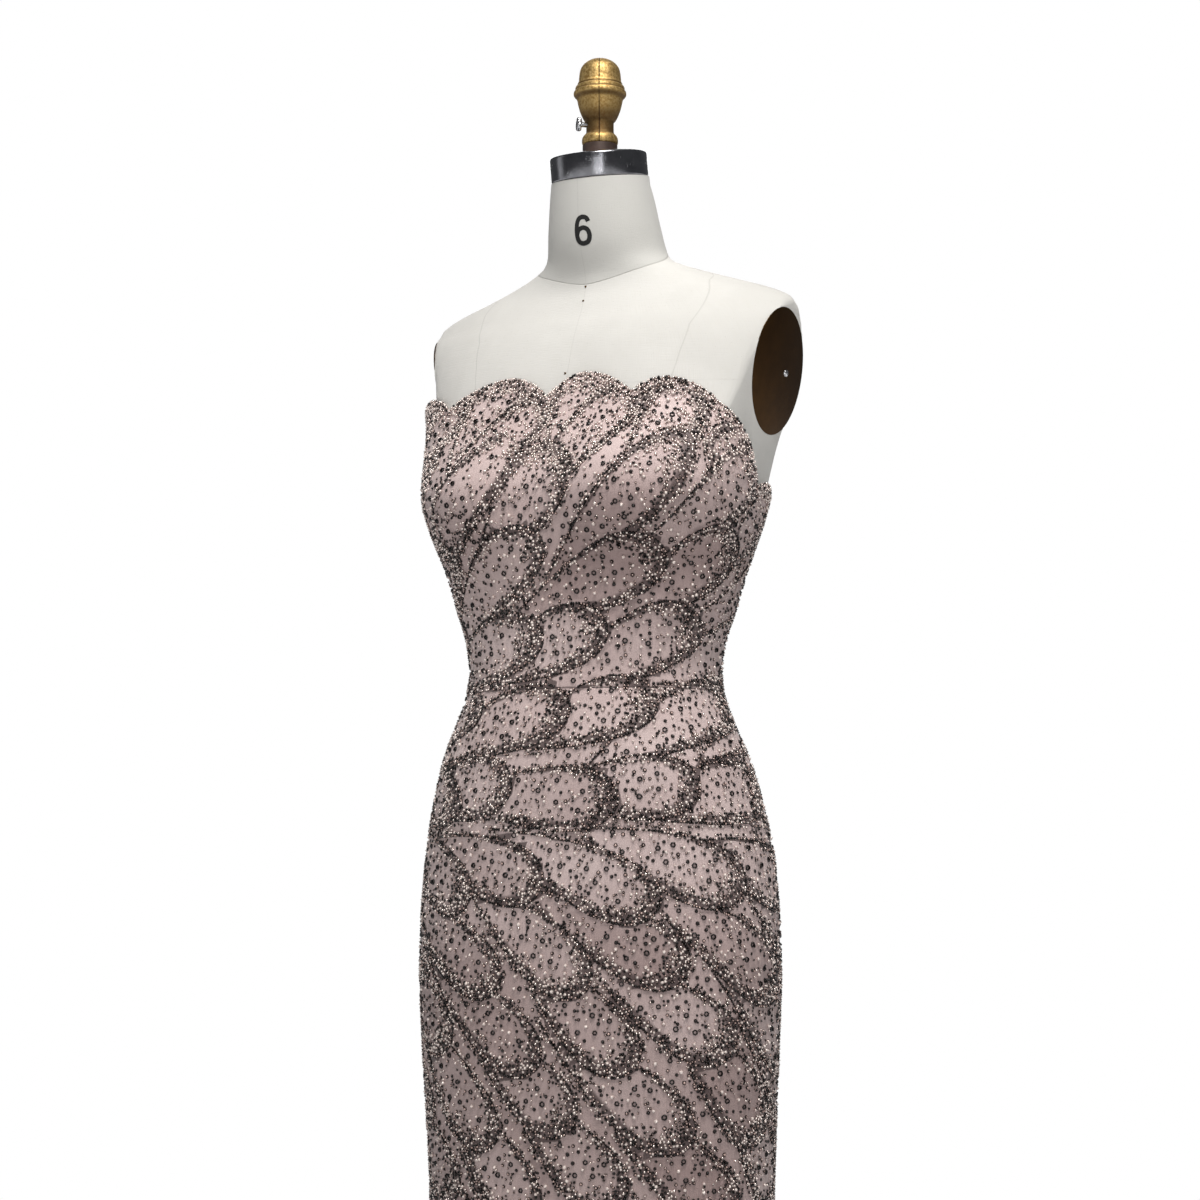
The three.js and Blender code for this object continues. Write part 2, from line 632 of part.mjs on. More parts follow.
function topFittings() {
  const edge = 2.5;
  const cap = [
    [0, 0],
    [CAP.radius, 0],
    [CAP.radius, CAP.height - edge],
    [CAP.radius - 0.8, CAP.height - 0.8],
    [CAP.radius - edge, CAP.height],
    [0, CAP.height],
  ];
  const turned = lathe(cap, 36, -WAIST_Z).applyMatrix4(neckFrame(SEAM_GAP));
  add("form_neck_cap", turned, steel);
  // The bush stands upright, so its foot is cut to the cap's slope
  const bush = [
    [0, 0],
    [BUSH.radius, 0],
    [BUSH.radius, 15],
    [0, 15],
  ];
  const below = new THREE.BoxGeometry(80, 80, 40).translate(0, 0, -20);
  below.applyMatrix4(neckFrame(CAP.height + 2 * SEAM_GAP));
  const upright = solidOf(lathe(bush, 24, BUSH.topH - 15)).subtract(solidOf(below));
  add("form_bush", geometryOf(upright), darkPaint);
  // Radius and height of the cast finial, from its flange up to its dome
  const finial = [
    [0, 0],
    [16.8, 0],
    [17.4, 2],
    [17.3, 5.6],
    [15.9, 9],
    [13.5, 12],
    [13.3, 22],
    [16.2, 26],
    [19.4, 33],
    [21.2, 40],
    [22.6, 45.6],
    [25.3, 48.6],
    [25.5, 50.4],
    [24.2, 54],
    [22.6, 57],
    [20.6, 60.5],
    [20, 67],
    [19.2, 73],
    [15.8, 79],
    [9.6, 83.2],
    [0, 85],
  ];
  const outwards = (radius, from, to, sides) => {
    const bar = new THREE.CylinderGeometry(radius, radius, to - from, sides);
    bar.translate(0, -(from + to) / 2, WAIST_Z + CLAMP.h);
    return solidOf(bar.rotateZ(CLAMP.deg * DEG));
  };
  const bore = outwards(CLAMP.shank + SEAM_GAP, CLAMP.innerEnd - SEAM_GAP, 30, 20);
  const body = solidOf(lathe(finial, 22, FINIAL_H)).subtract(bore);
  add("form_finial", geometryOf(body), goldPaint);
  const shank = outwards(CLAMP.shank, CLAMP.innerEnd, CLAMP.headFrom + 1, 20);
  const head = outwards(CLAMP.headHalf, CLAMP.headFrom, CLAMP.headFrom + CLAMP.headThick, 6);
  add("form_clamp_screw", geometryOf(shank.add(head)), steel);
}

// The stand under the form: a pole in a heavy round base
const POLE = { radius: 14, socketDepth: 26 };
const BASE = { radius: 155, plate: 9, rim: 5, bossRadius: 30, bossTop: 46 };

function stand() {
  const floorH = -WAIST_Z;
  const bore = POLE.radius + SEAM_GAP;
  const socketFloor = BASE.bossTop - POLE.socketDepth;
  const base = [
    [0, 0],
    [BASE.radius, 0],
    [BASE.radius, BASE.rim],
    [BASE.radius - 4, BASE.plate],
    [BASE.bossRadius + 14, BASE.plate + 4],
    [BASE.bossRadius, BASE.plate + 14],
    [BASE.bossRadius - 4, BASE.bossTop],
    [bore, BASE.bossTop],
    [bore, socketFloor],
    [0, socketFloor],
  ];
  add("form_base", lathe(base, 36, floorH), darkPaint);
  const from = socketFloor + SEAM_GAP;
  const to = WAIST_Z + TORSO_BOTTOM_H - SEAM_GAP;
  const pole = new THREE.CylinderGeometry(POLE.radius, POLE.radius, to - from, 28);
  pole.rotateX(Math.PI / 2).translate(0, 0, (from + to) / 2);
  add("form_pole", pole, steel);
}

gown();
const zipTopH = zip();
slider(zipTopH);
torso();
armPlates();
topFittings();
stand();

export default part;
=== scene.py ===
# Evening gown with beaded petals on a limbless dress form, for Blender 4.5
# The figure is worked out in millimetres and every mesh is made in metres
import math

import bmesh
import bpy
import numpy as np
from mathutils import Matrix, Vector
from mathutils.kdtree import KDTree


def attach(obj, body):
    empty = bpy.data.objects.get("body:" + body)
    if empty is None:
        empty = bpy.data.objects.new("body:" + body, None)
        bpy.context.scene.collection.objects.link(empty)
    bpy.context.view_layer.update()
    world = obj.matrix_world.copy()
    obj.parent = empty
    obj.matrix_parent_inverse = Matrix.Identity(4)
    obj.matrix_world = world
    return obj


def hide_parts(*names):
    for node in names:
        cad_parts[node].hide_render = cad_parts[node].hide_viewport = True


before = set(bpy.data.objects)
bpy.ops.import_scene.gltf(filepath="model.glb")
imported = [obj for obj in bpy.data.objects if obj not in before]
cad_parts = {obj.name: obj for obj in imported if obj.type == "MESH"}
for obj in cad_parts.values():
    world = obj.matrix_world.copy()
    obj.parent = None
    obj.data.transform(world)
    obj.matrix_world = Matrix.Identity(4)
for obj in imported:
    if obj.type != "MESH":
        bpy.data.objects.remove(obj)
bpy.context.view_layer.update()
rng = np.random.default_rng(26)
mm = 0.001
perDegree = math.pi / 180

figure = {
    "waist": 1070.0,  # height of the waist seam over the floor
    "hem": 12.0,
    "wall": 2.0,  # from the gown's inside to its outside
    # height over the waist seam, centre, half width, depth in front, depth behind, roundness
    "levels": [
        (-1060, 0, 197, 186, 184, 2.0), (-930, -1, 185, 167, 166, 2.0), (-760, 0, 169, 141, 139, 2.05),
        (-600, 1, 160, 125, 122, 2.1), (-465, 1, 162, 120, 118, 2.2), (-336, -2, 169, 122, 119, 2.2),
        (-245, -3, 173, 121, 118, 2.2), (-161, -3, 168, 119, 115, 2.2), (-105, -6, 158, 114, 110, 2.2),
        (-68, -9, 148, 108, 106, 2.2), (-30, -11, 132.5, 100, 99, 2.2), (0, -11, 121.5, 93, 92, 2.2),
        (20, -10, 119.5, 91, 90, 2.2), (45, -9, 122.5, 93, 92, 2.2), (83, -8, 134.5, 96, 96, 2.25),
        (121, -8, 146, 99, 103, 2.3), (160, -8, 159, 102, 110, 2.4), (185, -9, 166, 103, 113, 2.45),
        (226, 0, 173, 101, 108, 2.5), (258, 12, 182, 95, 99, 2.4), (292, 22, 193, 91, 92, 2.3),
        (325, 25, 200, 83, 85, 2.1), (346, 27, 203, 75, 77, 1.9), (362, 29, 197, 68, 70, 1.7),
        (372, 29, 185, 64, 67, 1.6), (380, 29, 168, 61, 64, 1.55), (390, 28, 138, 59, 61, 1.5),
        (400, 26, 107, 58, 59, 1.55), (408, 23, 83, 58, 58, 1.65), (415, 20, 67.5, 58, 58, 1.8),
        (424, 17, 61, 58, 58, 1.95), (445, 11, 57, 56, 56, 2.0), (476, 5, 52.5, 52, 52, 2.0),
        (497, 1, 49, 49, 49, 2.0),
    ],
    "bust": {"angle": 38, "height": 172, "rise": 25, "halfAngle": 25, "halfHeight": 50},
    "flutes": {"count": 9, "start": -640, "depth": 7, "phase": 20},
    "sideSeam": 95,
}

# The scalloped top edge: angle from centre front, height of the dip there, height of the next peak
neckline = [
    (-180, 180, 193), (-150, 180, 193), (-122, 180, 195), (-99, 192, 240), (-84, 262, 287),
    (-61, 272, 295), (-10, 273, 295), (38, 272, 285), (66, 261, 229), (89, 186, 192),
    (106, 180, 191), (130, 180, 193), (155, 180, 193), (180, 180, 193),
]


def smooth(low, high, x):
    t = np.clip((np.asarray(x, float) - low) / (high - low), 0, 1)
    return t * t * (3 - 2 * t)


def curveThrough(xs, ys):
    # a curve through the points of a table that never overshoots them
    xs, ys = np.array(xs, float), np.array(ys, float)
    spans = np.diff(xs)
    rises = np.diff(ys) / spans
    both = rises[:-1] * rises[1:]
    total = np.where(both > 0, rises[:-1] + rises[1:], 1)
    slopes = np.zeros(len(xs))
    slopes[1:-1] = np.where(both > 0, 2 * both / total, 0)

    def at(x):
        x = np.clip(x, xs[0], xs[-1])
        i = np.clip(np.searchsorted(xs, x, side="right") - 1, 0, len(xs) - 2)
        t = (x - xs[i]) / spans[i]
        step = ys[i + 1] - ys[i]
        p, q = slopes[i] * spans[i], slopes[i + 1] * spans[i]
        return ys[i] + t * (p + t * (3 * step - 2 * p - q + t * (p + q - 2 * step)))

    return at


levelTable = list(zip(*figure["levels"]))
centreAt, sideAt, frontAt, backAt, squareAt = [curveThrough(levelTable[0], c) for c in levelTable[1:]]


def reach(deg, h, bustRise=None):
    bust = figure["bust"]
    rise = bust["rise"] if bustRise is None else bustRise
    s, c = np.sin(deg * perDegree), np.cos(deg * perDegree)
    depth = np.where(c > 0, frontAt(h), backAt(h))
    n = squareAt(h)
    r = (np.abs(s / sideAt(h)) ** n + np.abs(c / depth) ** n) ** (-1 / n)
    for at in (-bust["angle"], bust["angle"]):
        across, up = (deg - at) / bust["halfAngle"], (h - bust["height"]) / bust["halfHeight"]
        r = r + rise * np.exp(-across * across - up * up)
    return r


def figurePoint(deg, h, out, bustRise=None):
    deg, h = np.broadcast_arrays(np.asarray(deg, float), np.asarray(h, float))
    r = reach(deg, h, bustRise) + out
    x, y = r * np.sin(deg * perDegree), centreAt(h) - r * np.cos(deg * perDegree)
    return np.stack([x, y, figure["waist"] + h], -1)


def gownPoint(deg, h, out=0.0):
    flutes = figure["flutes"]
    opened = smooth(0, flutes["start"] - figure["levels"][0][0], flutes["start"] - np.asarray(h, float))
    wave = np.cos((flutes["count"] * np.asarray(deg, float) + flutes["phase"]) * perDegree)
    return figurePoint(deg, h, out + flutes["depth"] * opened * wave)


def gownNormal(deg, h):
    step = 0.2
    level = gownPoint(deg + step, h) - gownPoint(deg - step, h)
    up = gownPoint(deg, h + step) - gownPoint(deg, h - step)
    normal = np.cross(level, up)
    return normal / np.linalg.norm(normal, axis=-1, keepdims=True)


def topAt(deg):
    ats, dips, peaks = (np.array(c, float) for c in zip(*neckline))
    i = np.clip(np.searchsorted(ats, deg, side="right") - 1, 0, len(ats) - 2)
    t = (deg - ats[i]) / (ats[i + 1] - ats[i])
    rise = peaks[i] - (dips[i] + dips[i + 1]) / 2
    return dips[i] + (dips[i + 1] - dips[i]) * t + rise * np.sin(np.pi * np.clip(t, 0, 1)) ** 0.8


def around(h, steps=120):
    # arc length round a level from centre back, and the angles that go with it
    degs = np.linspace(-180, 180, steps + 1)
    path = gownPoint(degs, float(h))
    arcs = np.concatenate([[0], np.cumsum(np.linalg.norm(np.diff(path, axis=0), axis=1))])
    return degs, arcs


# Petals overlap like feathers: the ones with the lowest rank lie on top
petalPlan = {
    "length": 172, "width": 76, "stepAlong": 90, "stepUp": 62,
    "lift": 2.2, "fanHeight": -95, "topHeight": 214,
    "stray": {"place": 7, "lean": 6, "length": 0.07},  # unevenness in mm, degrees and as a share
    "scallop": {"length": 138, "drop": 0.42, "lean": 84},
    # height over the waist seam, degrees above level towards the wearer's left
    "lean": [
        (-1060, -62), (-600, -54), (-420, -47), (-250, -36), (-160, -20), (-95, 4),
        (-55, 20), (10, 21), (70, 27), (140, 43), (200, 61), (290, 72),
    ],
}


def petalFrame(deg, h, lean, length, width, rank):
    step = 0.5
    level = gownPoint(deg + step, h) - gownPoint(deg - step, h)
    up = gownPoint(deg, h + step) - gownPoint(deg, h - step)
    level, up = level / np.linalg.norm(level), up / np.linalg.norm(up)
    along = math.cos(lean * perDegree) * level + math.sin(lean * perDegree) * up
    along /= np.linalg.norm(along)
    out = np.cross(level, up)
    out /= np.linalg.norm(out)
    return {
        "deg": deg, "h": h, "centre": gownPoint(deg, h), "along": along, "out": out,
        "across": np.cross(out, along), "length": length, "width": width, "rank": rank,
    }


def layPetals():
    plan, stray = petalPlan, petalPlan["stray"]
    leanAt = curveThrough(*zip(*plan["lean"]))
    made = []
    bottom = figure["levels"][0][0]
    for row in range(math.ceil((plan["topHeight"] - bottom) / plan["stepUp"]) + 1):
        h = plan["topHeight"] - row * plan["stepUp"]
        degs, arcs = around(h)
        count = round(arcs[-1] / plan["stepAlong"])
        for i in range(count):
            arc = (i + 0.25 + 0.5 * (row % 2)) / count * arcs[-1]
            rank = arc + plan["lift"] * abs(h - plan["fanHeight"])
            off = [math.sin(row * 2.4 + i * 3.9 + kind * 1.7) for kind in range(4)]
            deg = float(np.interp(arc + stray["place"] * off[0], arcs, degs))
            ownH = h + 0.6 * stray["place"] * off[1]
            lean = float(leanAt(ownH)) + stray["lean"] * off[2]
            length = plan["length"] * (1 + stray["length"] * off[3])
            made.append(petalFrame(deg, ownH, lean, length, plan["width"], rank))
    scallop = plan["scallop"]
    for i, (row, after) in enumerate(zip(neckline, neckline[1:])):
        h = row[2] - scallop["length"] * scallop["drop"]
        ends = gownPoint(row[0], row[1]) - gownPoint(after[0], after[1])
        width = float(np.linalg.norm(ends)) * 1.04
        middle = (row[0] + after[0]) / 2
        made.append(petalFrame(middle, h, scallop["lean"], scallop["length"], width, 1e5 + i))
    return sorted(made, key=lambda petal: petal["rank"])


petals = layPetals()
petalData = {key: np.array([petal[key] for petal in petals]) for key in petals[0]}
petalTint = rng.uniform(-1, 1, len(petals))


def petalHalf(t):
    t = np.clip(t, 0, 1)
    return 0.61 * t**0.8 * np.sqrt(1 - t**4)


def topPetal(points):
    # which petal lies on top at each point
    found = np.full(len(points), -1)
    order = np.argsort(points[:, 2])
    heights = points[order, 2]
    for k, petal in enumerate(petals):
        z, length = petal["centre"][2], petal["length"]
        low, high = np.searchsorted(heights, [z - length, z + length])
        near = order[low:high]
        near = near[found[near] < 0]
        away = points[near] - petal["centre"]
        t = away @ petal["along"] / length + 0.5
        inside = np.abs(away @ petal["across"]) < petalHalf(t) * petal["width"]
        inside &= (t > 0) & (t < 1) & (np.abs(away @ petal["out"]) < petal["width"])
        found[near[inside]] = k
    return found


def ontoGown(which, a, b):
    # the angle and height on the gown of a spot given along and across a petal
    centre, along, across = (petalData[key][which] for key in ("centre", "along", "across"))
    deg, h = petalData["deg"][which].astype(float), petalData["h"][which].astype(float)
    target = np.stack([a, b], -1)

    def local(deg, h):
        away = gownPoint(deg, h) - centre
        return np.stack([np.sum(away * along, -1), np.sum(away * across, -1)], -1)

    step = 0.3
    for _ in range(5):
        here = local(deg, h)
        byDeg, byH = (local(deg + step, h) - here) / step, (local(deg, h + step) - here) / step
        miss = target - here
        det = byDeg[:, 0] * byH[:, 1] - byDeg[:, 1] * byH[:, 0]
        det = np.where(np.abs(det) < 1e-3, 1e-3, det)
        deg = deg + np.clip((miss[:, 0] * byH[:, 1] - miss[:, 1] * byH[:, 0]) / det, -25, 25)
        h = h + np.clip((byDeg[:, 0] * miss[:, 1] - byDeg[:, 1] * miss[:, 0]) / det, -60, 60)
    good = np.linalg.norm(target - local(deg, h), axis=1) < 0.4
    return (deg + 180) % 360 - 180, h, good


print(f"{len(petals)} petals laid")


# ---- nodes


class Wire:
    # one output in a material's tree; plain arithmetic on it adds Math nodes
    def __init__(self, sheet, socket):
        self.sheet, self.socket = sheet, socket

    def math(self, operation, *others):
        values = dict(enumerate([self, *others]))
        return self.sheet.node("ShaderNodeMath", {"operation": operation}, values)

    def __add__(self, other):
        return self.math("ADD", other)

    def __sub__(self, other):
        return self.math("SUBTRACT", other)

    def __mul__(self, other):
        return self.math("MULTIPLY", other)

    def __truediv__(self, other):
        return self.math("DIVIDE", other)

    def __pow__(self, other):
        return self.math("POWER", other)

    def __rsub__(self, other):
        return self.sheet.node("ShaderNodeMath", {"operation": "SUBTRACT"}, {0: other, 1: self})

    __radd__ = __add__
    __rmul__ = __mul__


class Finish:
    # one procedural material
    def __init__(self, name):
        self.material = bpy.data.materials.new(name)
        self.material.use_nodes = True
        self.tree = self.material.node_tree
        self.tree.nodes.clear()

    def node(self, kind, settings=None, values=None, out=0):
        made = self.tree.nodes.new(kind)
        for key, value in (settings or {}).items():
            if key == "stops":
                ramp = made.color_ramp
                while len(ramp.elements) < len(value):
                    ramp.elements.new(0.5)
                for element, (at, colour) in zip(ramp.elements, value):
                    element.position, element.color = at, colour
            else:
                setattr(made, key, value)
        for key, value in (values or {}).items():
            if isinstance(value, Wire):
                self.tree.links.new(value.socket, made.inputs[key])
            else:
                made.inputs[key].default_value = value
        return Wire(self, made.outputs[out])

    def place(self):
        return self.node("ShaderNodeTexCoord", out="Object")

    def attribute(self, name, out="Fac"):
        return self.node("ShaderNodeAttribute", {"attribute_name": name}, out=out)

    def stretched(self, place, scale):
        return self.node("ShaderNodeMapping", {}, {"Vector": place, "Scale": scale})

    def noise(self, place, scale, detail=2.0, roughness=0.5):
        values = {"Vector": place, "Scale": scale, "Detail": detail, "Roughness": roughness}
        return self.node("ShaderNodeTexNoise", {}, values, "Fac")

    def cells(self, place, scale, feature="F1", out="Distance"):
        return self.node("ShaderNodeTexVoronoi", {"feature": feature}, {"Vector": place, "Scale": scale}, out)

    def fade(self, value, low, high, start=0.0, end=1.0):
        values = {"Value": value, "From Min": low, "From Max": high, "To Min": start, "To Max": end}
        return self.node("ShaderNodeMapRange", {"interpolation_type": "SMOOTHSTEP"}, values)

    def blend(self, share, first, second):
        values = {0: share, 6: first, 7: second}
        return self.node("ShaderNodeMix", {"data_type": "RGBA"}, values, 2)

    def bump(self, height, distance, strength=1.0, after=None):
        values = {"Height": height, "Distance": distance, "Strength": strength}
        if after:
            values["Normal"] = after
        return self.node("ShaderNodeBump", {}, values, "Normal")

    def done(self, **values):
        named = {key.replace("_", " "): value for key, value in values.items()}
        surface = self.node("ShaderNodeBsdfPrincipled", {}, named, "BSDF")
        output = self.tree.nodes.new("ShaderNodeOutputMaterial")
        self.tree.links.new(surface.socket, output.inputs["Surface"])
        return self.material


def paint(red, green, blue):
    # screen values from 0 to 255 as a linear colour
    def linear(value):
        share = value / 255
        return share / 12.92 if share <= 0.04045 else ((share + 0.055) / 1.055) ** 2.4

    return (linear(red), linear(green), linear(blue), 1.0)


def netFinish():
    f = Finish("beadedNet")
    place = f.place()
    cloth = f.attribute("clothPlace", "Vector")
    cloudy = f.fade(f.noise(place, 16, 3), 0.3, 0.7)
    colour = f.blend(cloudy, paint(208, 186, 182), paint(221, 200, 196))
    # painted light and shade by height, with a random tint per petal, towards a darker mauve
    colour = f.blend(f.attribute("petalTone"), colour, paint(156, 132, 128))
    band = f.fade(f.attribute("petalEdge") / f.attribute("bandWide"), 0.55, 0.95, 1, 0)
    # painted shadow just outside the edge of a petal that lies over this one
    colour = f.blend(f.fade(f.attribute("overEdge"), 0.5, 6, 0.5, 0), colour, paint(84, 65, 62))
    # painted shade under and between the band beads
    colour = f.blend(band * 0.85, colour, paint(58, 42, 40))
    mesh = f.cells(cloth, 640, "DISTANCE_TO_EDGE")
    thread = f.fade(mesh, 0.03, 0.14, 1, 0)
    colour = f.blend(thread * 0.22, colour, paint(128, 106, 106))
    drawn = f.noise(f.stretched(cloth, (950, 38, 1)), 1, 2)
    colour = f.blend(f.fade(drawn, 0.56, 0.75) * 0.18, colour, paint(118, 96, 96))
    seam = f.fade(f.attribute("seamAway"), 0.05, 0.5, 1, 0)
    colour = f.blend(seam * 0.6, colour, paint(70, 52, 52))
    soft = f.bump(drawn, 0.0006, 0.5)
    fine = f.bump(thread, 0.00022, 0.6, soft)
    rough = 0.46 + 0.16 * f.noise(cloth, 220, 2) + thread * 0.1
    return f.done(Base_Color=colour, Roughness=rough, Normal=fine, Sheen_Weight=0.25, Sheen_Roughness=0.4)


def beadFinish(name, dark, light, metal, rough, coat, core):
    # core: the range of bead tones that turns from dark to light; the tone is random per bead plus a painted highlight
    # at its top
    f = Finish(name)
    colour = f.blend(f.fade(f.attribute("beadTone"), core[0], core[1]), dark, light)
    uneven = f.noise(f.place(), 900, 1)
    return f.done(
        Base_Color=colour, Metallic=metal, Roughness=rough + 0.14 * uneven, Coat_Weight=coat, Coat_Roughness=0.08
    )


def canvasFinish():
    f = Finish("formCanvas")
    place = f.place()
    cloth = f.attribute("clothPlace", "Vector")
    threads = []
    for scale in ((1500, 60, 60), (60, 1500, 60)):
        threads.append(f.noise(f.stretched(cloth, scale), 1, 1.5))
    weave = threads[0] * 0.5 + threads[1] * 0.5
    stains = f.fade(f.noise(place, 9, 4, 0.6), 0.35, 0.7)
    colour = f.blend(stains, paint(211, 209, 204), paint(203, 201, 196))
    colour = f.blend(f.fade(weave, 0.42, 0.62) * 0.2, colour, paint(202, 198, 189))
    seams = None
    for name, strength in (("neckSeam", 1.0), ("princessSeam", 0.4), ("centreSeam", 0.25), ("sideSeam", 0.6)):
        away = f.attribute(name).math("ABSOLUTE")
        line = f.fade(away, 0.15, 0.8, strength, 0)
        seams = line if seams is None else seams.math("MAXIMUM", line)
    # painted shade: the neck above its seam is darker than the chest
    colour = f.blend(f.fade(f.attribute("neckSeam"), -0.5, 0.5, 0, 0.55), colour, paint(178, 177, 172))
    specks = f.cells(place, 260)
    colour = f.blend(f.fade(specks, 0.05, 0.13, 0.3, 0), colour, paint(150, 144, 134))
    colour = f.blend(seams * 0.5, colour, paint(140, 137, 131))
    slub = f.bump(weave, 0.0005, 0.7)
    groove = f.bump(1 - seams, 0.0005, 0.6, slub)
    return f.done(Base_Color=colour, Roughness=0.82 + 0.1 * weave, Normal=groove, Sheen_Weight=0.15)


def metalFinish(name, dark, light, metal, rough, wear=0.0, worn=(0, 0, 0, 1), grain=(60, 60, 60)):
    f = Finish(name)
    place = f.place()
    cloudy = f.noise(f.stretched(place, grain), 1, 4, 0.6)
    colour = f.blend(f.fade(cloudy, 0.3, 0.7), dark, light)
    fine = f.noise(place, 700, 3, 0.65)
    rubbed = f.fade(f.noise(place, 95, 5, 0.7), 0.56, 0.68) * wear
    colour = f.blend(rubbed, colour, worn)
    scratch = f.noise(f.stretched(place, (2600, 2600, 140)), 1, 2)
    dents = f.bump(fine, 0.00025, 0.25)
    lines = f.bump(scratch, 0.0001, 0.2, dents)
    return f.done(
        Base_Color=colour, Metallic=metal, Roughness=rough + 0.16 * fine + rubbed * 0.2, Normal=lines
    )


def goldFinish():
    # rough cast paint, dark in the hollows and along the parting line at the front
    f = Finish("antiqueGold")
    place = f.place()
    coarse = f.noise(place, 420, 3, 0.7)
    speck = f.noise(place, 1300, 2, 0.6)
    colour = f.blend(f.fade(coarse, 0.35, 0.65), paint(150, 118, 66), paint(206, 176, 116))
    hollow = f.attribute("hollow")
    colour = f.blend(f.fade(hollow + (coarse - 0.5) * 0.5, 0.25, 0.85) * 0.8, colour, paint(70, 46, 24))
    line = f.fade(f.attribute("partingAway"), 0.3, 0.9, 1, 0)
    colour = f.blend(line * 0.85, colour, paint(52, 30, 18))
    grain = f.bump(coarse * 0.6 + speck * 0.4, 0.0011, 0.6)
    groove = f.bump(1 - line, 0.0008, 0.7, grain)
    return f.done(Base_Color=colour, Metallic=0.85, Roughness=0.36 + 0.2 * speck + hollow * 0.12, Normal=groove)


finishes = {
    "net": netFinish(),
    # the dark beads' light colour shows only as a painted highlight at their tops
    "dark": beadFinish("darkBeads", paint(15, 7, 5), paint(214, 184, 174), 0.1, 0.14, 0.2, (0.26, 0.62)),
    "silver": beadFinish("silverBeads", paint(128, 104, 97), paint(252, 238, 230), 0.75, 0.12, 0.5, (0, 1)),
    "pale": beadFinish("paleBeads", paint(182, 154, 147), paint(252, 238, 230), 0.05, 0.16, 0.8, (0, 1)),
    "canvas": canvasFinish(),
    "darkSteel": metalFinish("darkSteel", paint(118, 118, 122), paint(138, 138, 142), 1.0, 0.1, 0.6, paint(182, 182, 184)),
    "platedSteel": metalFinish("platedSteel", paint(176, 176, 178), paint(206, 206, 208), 1.0, 0.14),
    "gold": goldFinish(),
    "bronze": metalFinish("bronzePaint", paint(62, 39, 9), paint(70, 45, 12), 0.9, 0.3),
    "ink": metalFinish("numberInk", paint(9, 9, 9), paint(15, 14, 14), 0.0, 0.7),
    "bush": metalFinish("bushPaint", paint(58, 44, 38), paint(82, 64, 56), 0.1, 0.45),
    "darkPaint": metalFinish("darkPaint", paint(44, 42, 42), paint(60, 58, 57), 0.2, 0.42, 0.3, paint(84, 80, 78)),
    "zip": metalFinish("zipMetal", paint(160, 136, 132), paint(184, 160, 156), 0.6, 0.28),
}
print(f"{len(finishes)} finishes made")


# ---- shared mesh helpers


def addObject(name, mesh, finish, body="form"):
    piece = bpy.data.objects.new(name, mesh)
    bpy.context.scene.collection.objects.link(piece)
    mesh.materials.clear()
    mesh.materials.append(finishes[finish])
    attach(piece, body)
    return piece


def meshFrom(bm, name, sharpDegrees=40):
    bmesh.ops.recalc_face_normals(bm, faces=bm.faces[:])
    for face in bm.faces:
        face.smooth = True
    for edge in bm.edges:
        if len(edge.link_faces) == 2:
            edge.smooth = edge.calc_face_angle(0) < sharpDegrees * perDegree
    mesh = bpy.data.meshes.new(name)
    bm.to_mesh(mesh)
    bm.free()
    return mesh


def readPoints(mesh):
    points = np.zeros(len(mesh.vertices) * 3, np.float32)
    mesh.vertices.foreach_get("co", points)
    return points.reshape(-1, 3).astype(float)


def writePoints(mesh, points):
    mesh.vertices.foreach_set("co", np.asarray(points, np.float32).ravel())
    mesh.update()


def addNumbers(mesh, name, values):
    values = np.asarray(values, np.float32)
    kind, field = ("FLOAT", "value") if values.ndim == 1 else ("FLOAT_VECTOR", "vector")
    layer = mesh.attributes.new(name, kind, "POINT")
    layer.data.foreach_set(field, values.ravel())


def gridMesh(name, cols, rows):
    # a flat grid whose x and y run from 0 to 1
    bm = bmesh.new()
    bmesh.ops.create_grid(bm, x_segments=cols, y_segments=rows, size=0.5)
    bmesh.ops.translate(bm, vec=(0.5, 0.5, 0), verts=bm.verts[:])
    mesh = bpy.data.meshes.new(name)
    bm.to_mesh(mesh)
    bm.free()
    mesh.polygons.foreach_set("use_smooth", np.ones(len(mesh.polygons), bool))
    return mesh


def spun(name, profile, steps=64, at=0.0, axis="z"):
    # a closed turned shape from radius and height pairs, in millimetres
    bm = bmesh.new()
    ring = [bm.verts.new((r * mm, 0, (h + at) * mm)) for r, h in profile]
    edges = [bm.edges.new(pair) for pair in zip(ring, ring[1:])]
    bmesh.ops.spin(
        bm, geom=ring + edges, cent=(0, 0, 0), axis=(0, 0, 1), angle=2 * math.pi, steps=steps, use_merge=True
    )
    bmesh.ops.remove_doubles(bm, verts=bm.verts[:], dist=1e-6)
    if axis == "y":
        bmesh.ops.rotate(bm, cent=(0, 0, 0), matrix=Matrix.Rotation(math.pi / 2, 3, "X"), verts=bm.verts[:])
    return bm


# ---- beadwork

beadwork = {
    "pitch": 2.7,  # between neighbours in one row
    "rowStep": 2.35,
    "rows": 11,
    "edgeSize": 3.0, "size": (2.5, 3.2), "pearl": (3.3, 4.0), "small": (2.1, 2.8),
    "ring": (5.2, 6.2), "smallRing": (3.1, 3.9),
    "clear": 0.76,  # least gap between centres, as a share of both radii
    "seamClear": 0.6, "zipClear": 4.2, "zipBottom": -156,
    "ringStep": (9.8, 9.0),
}


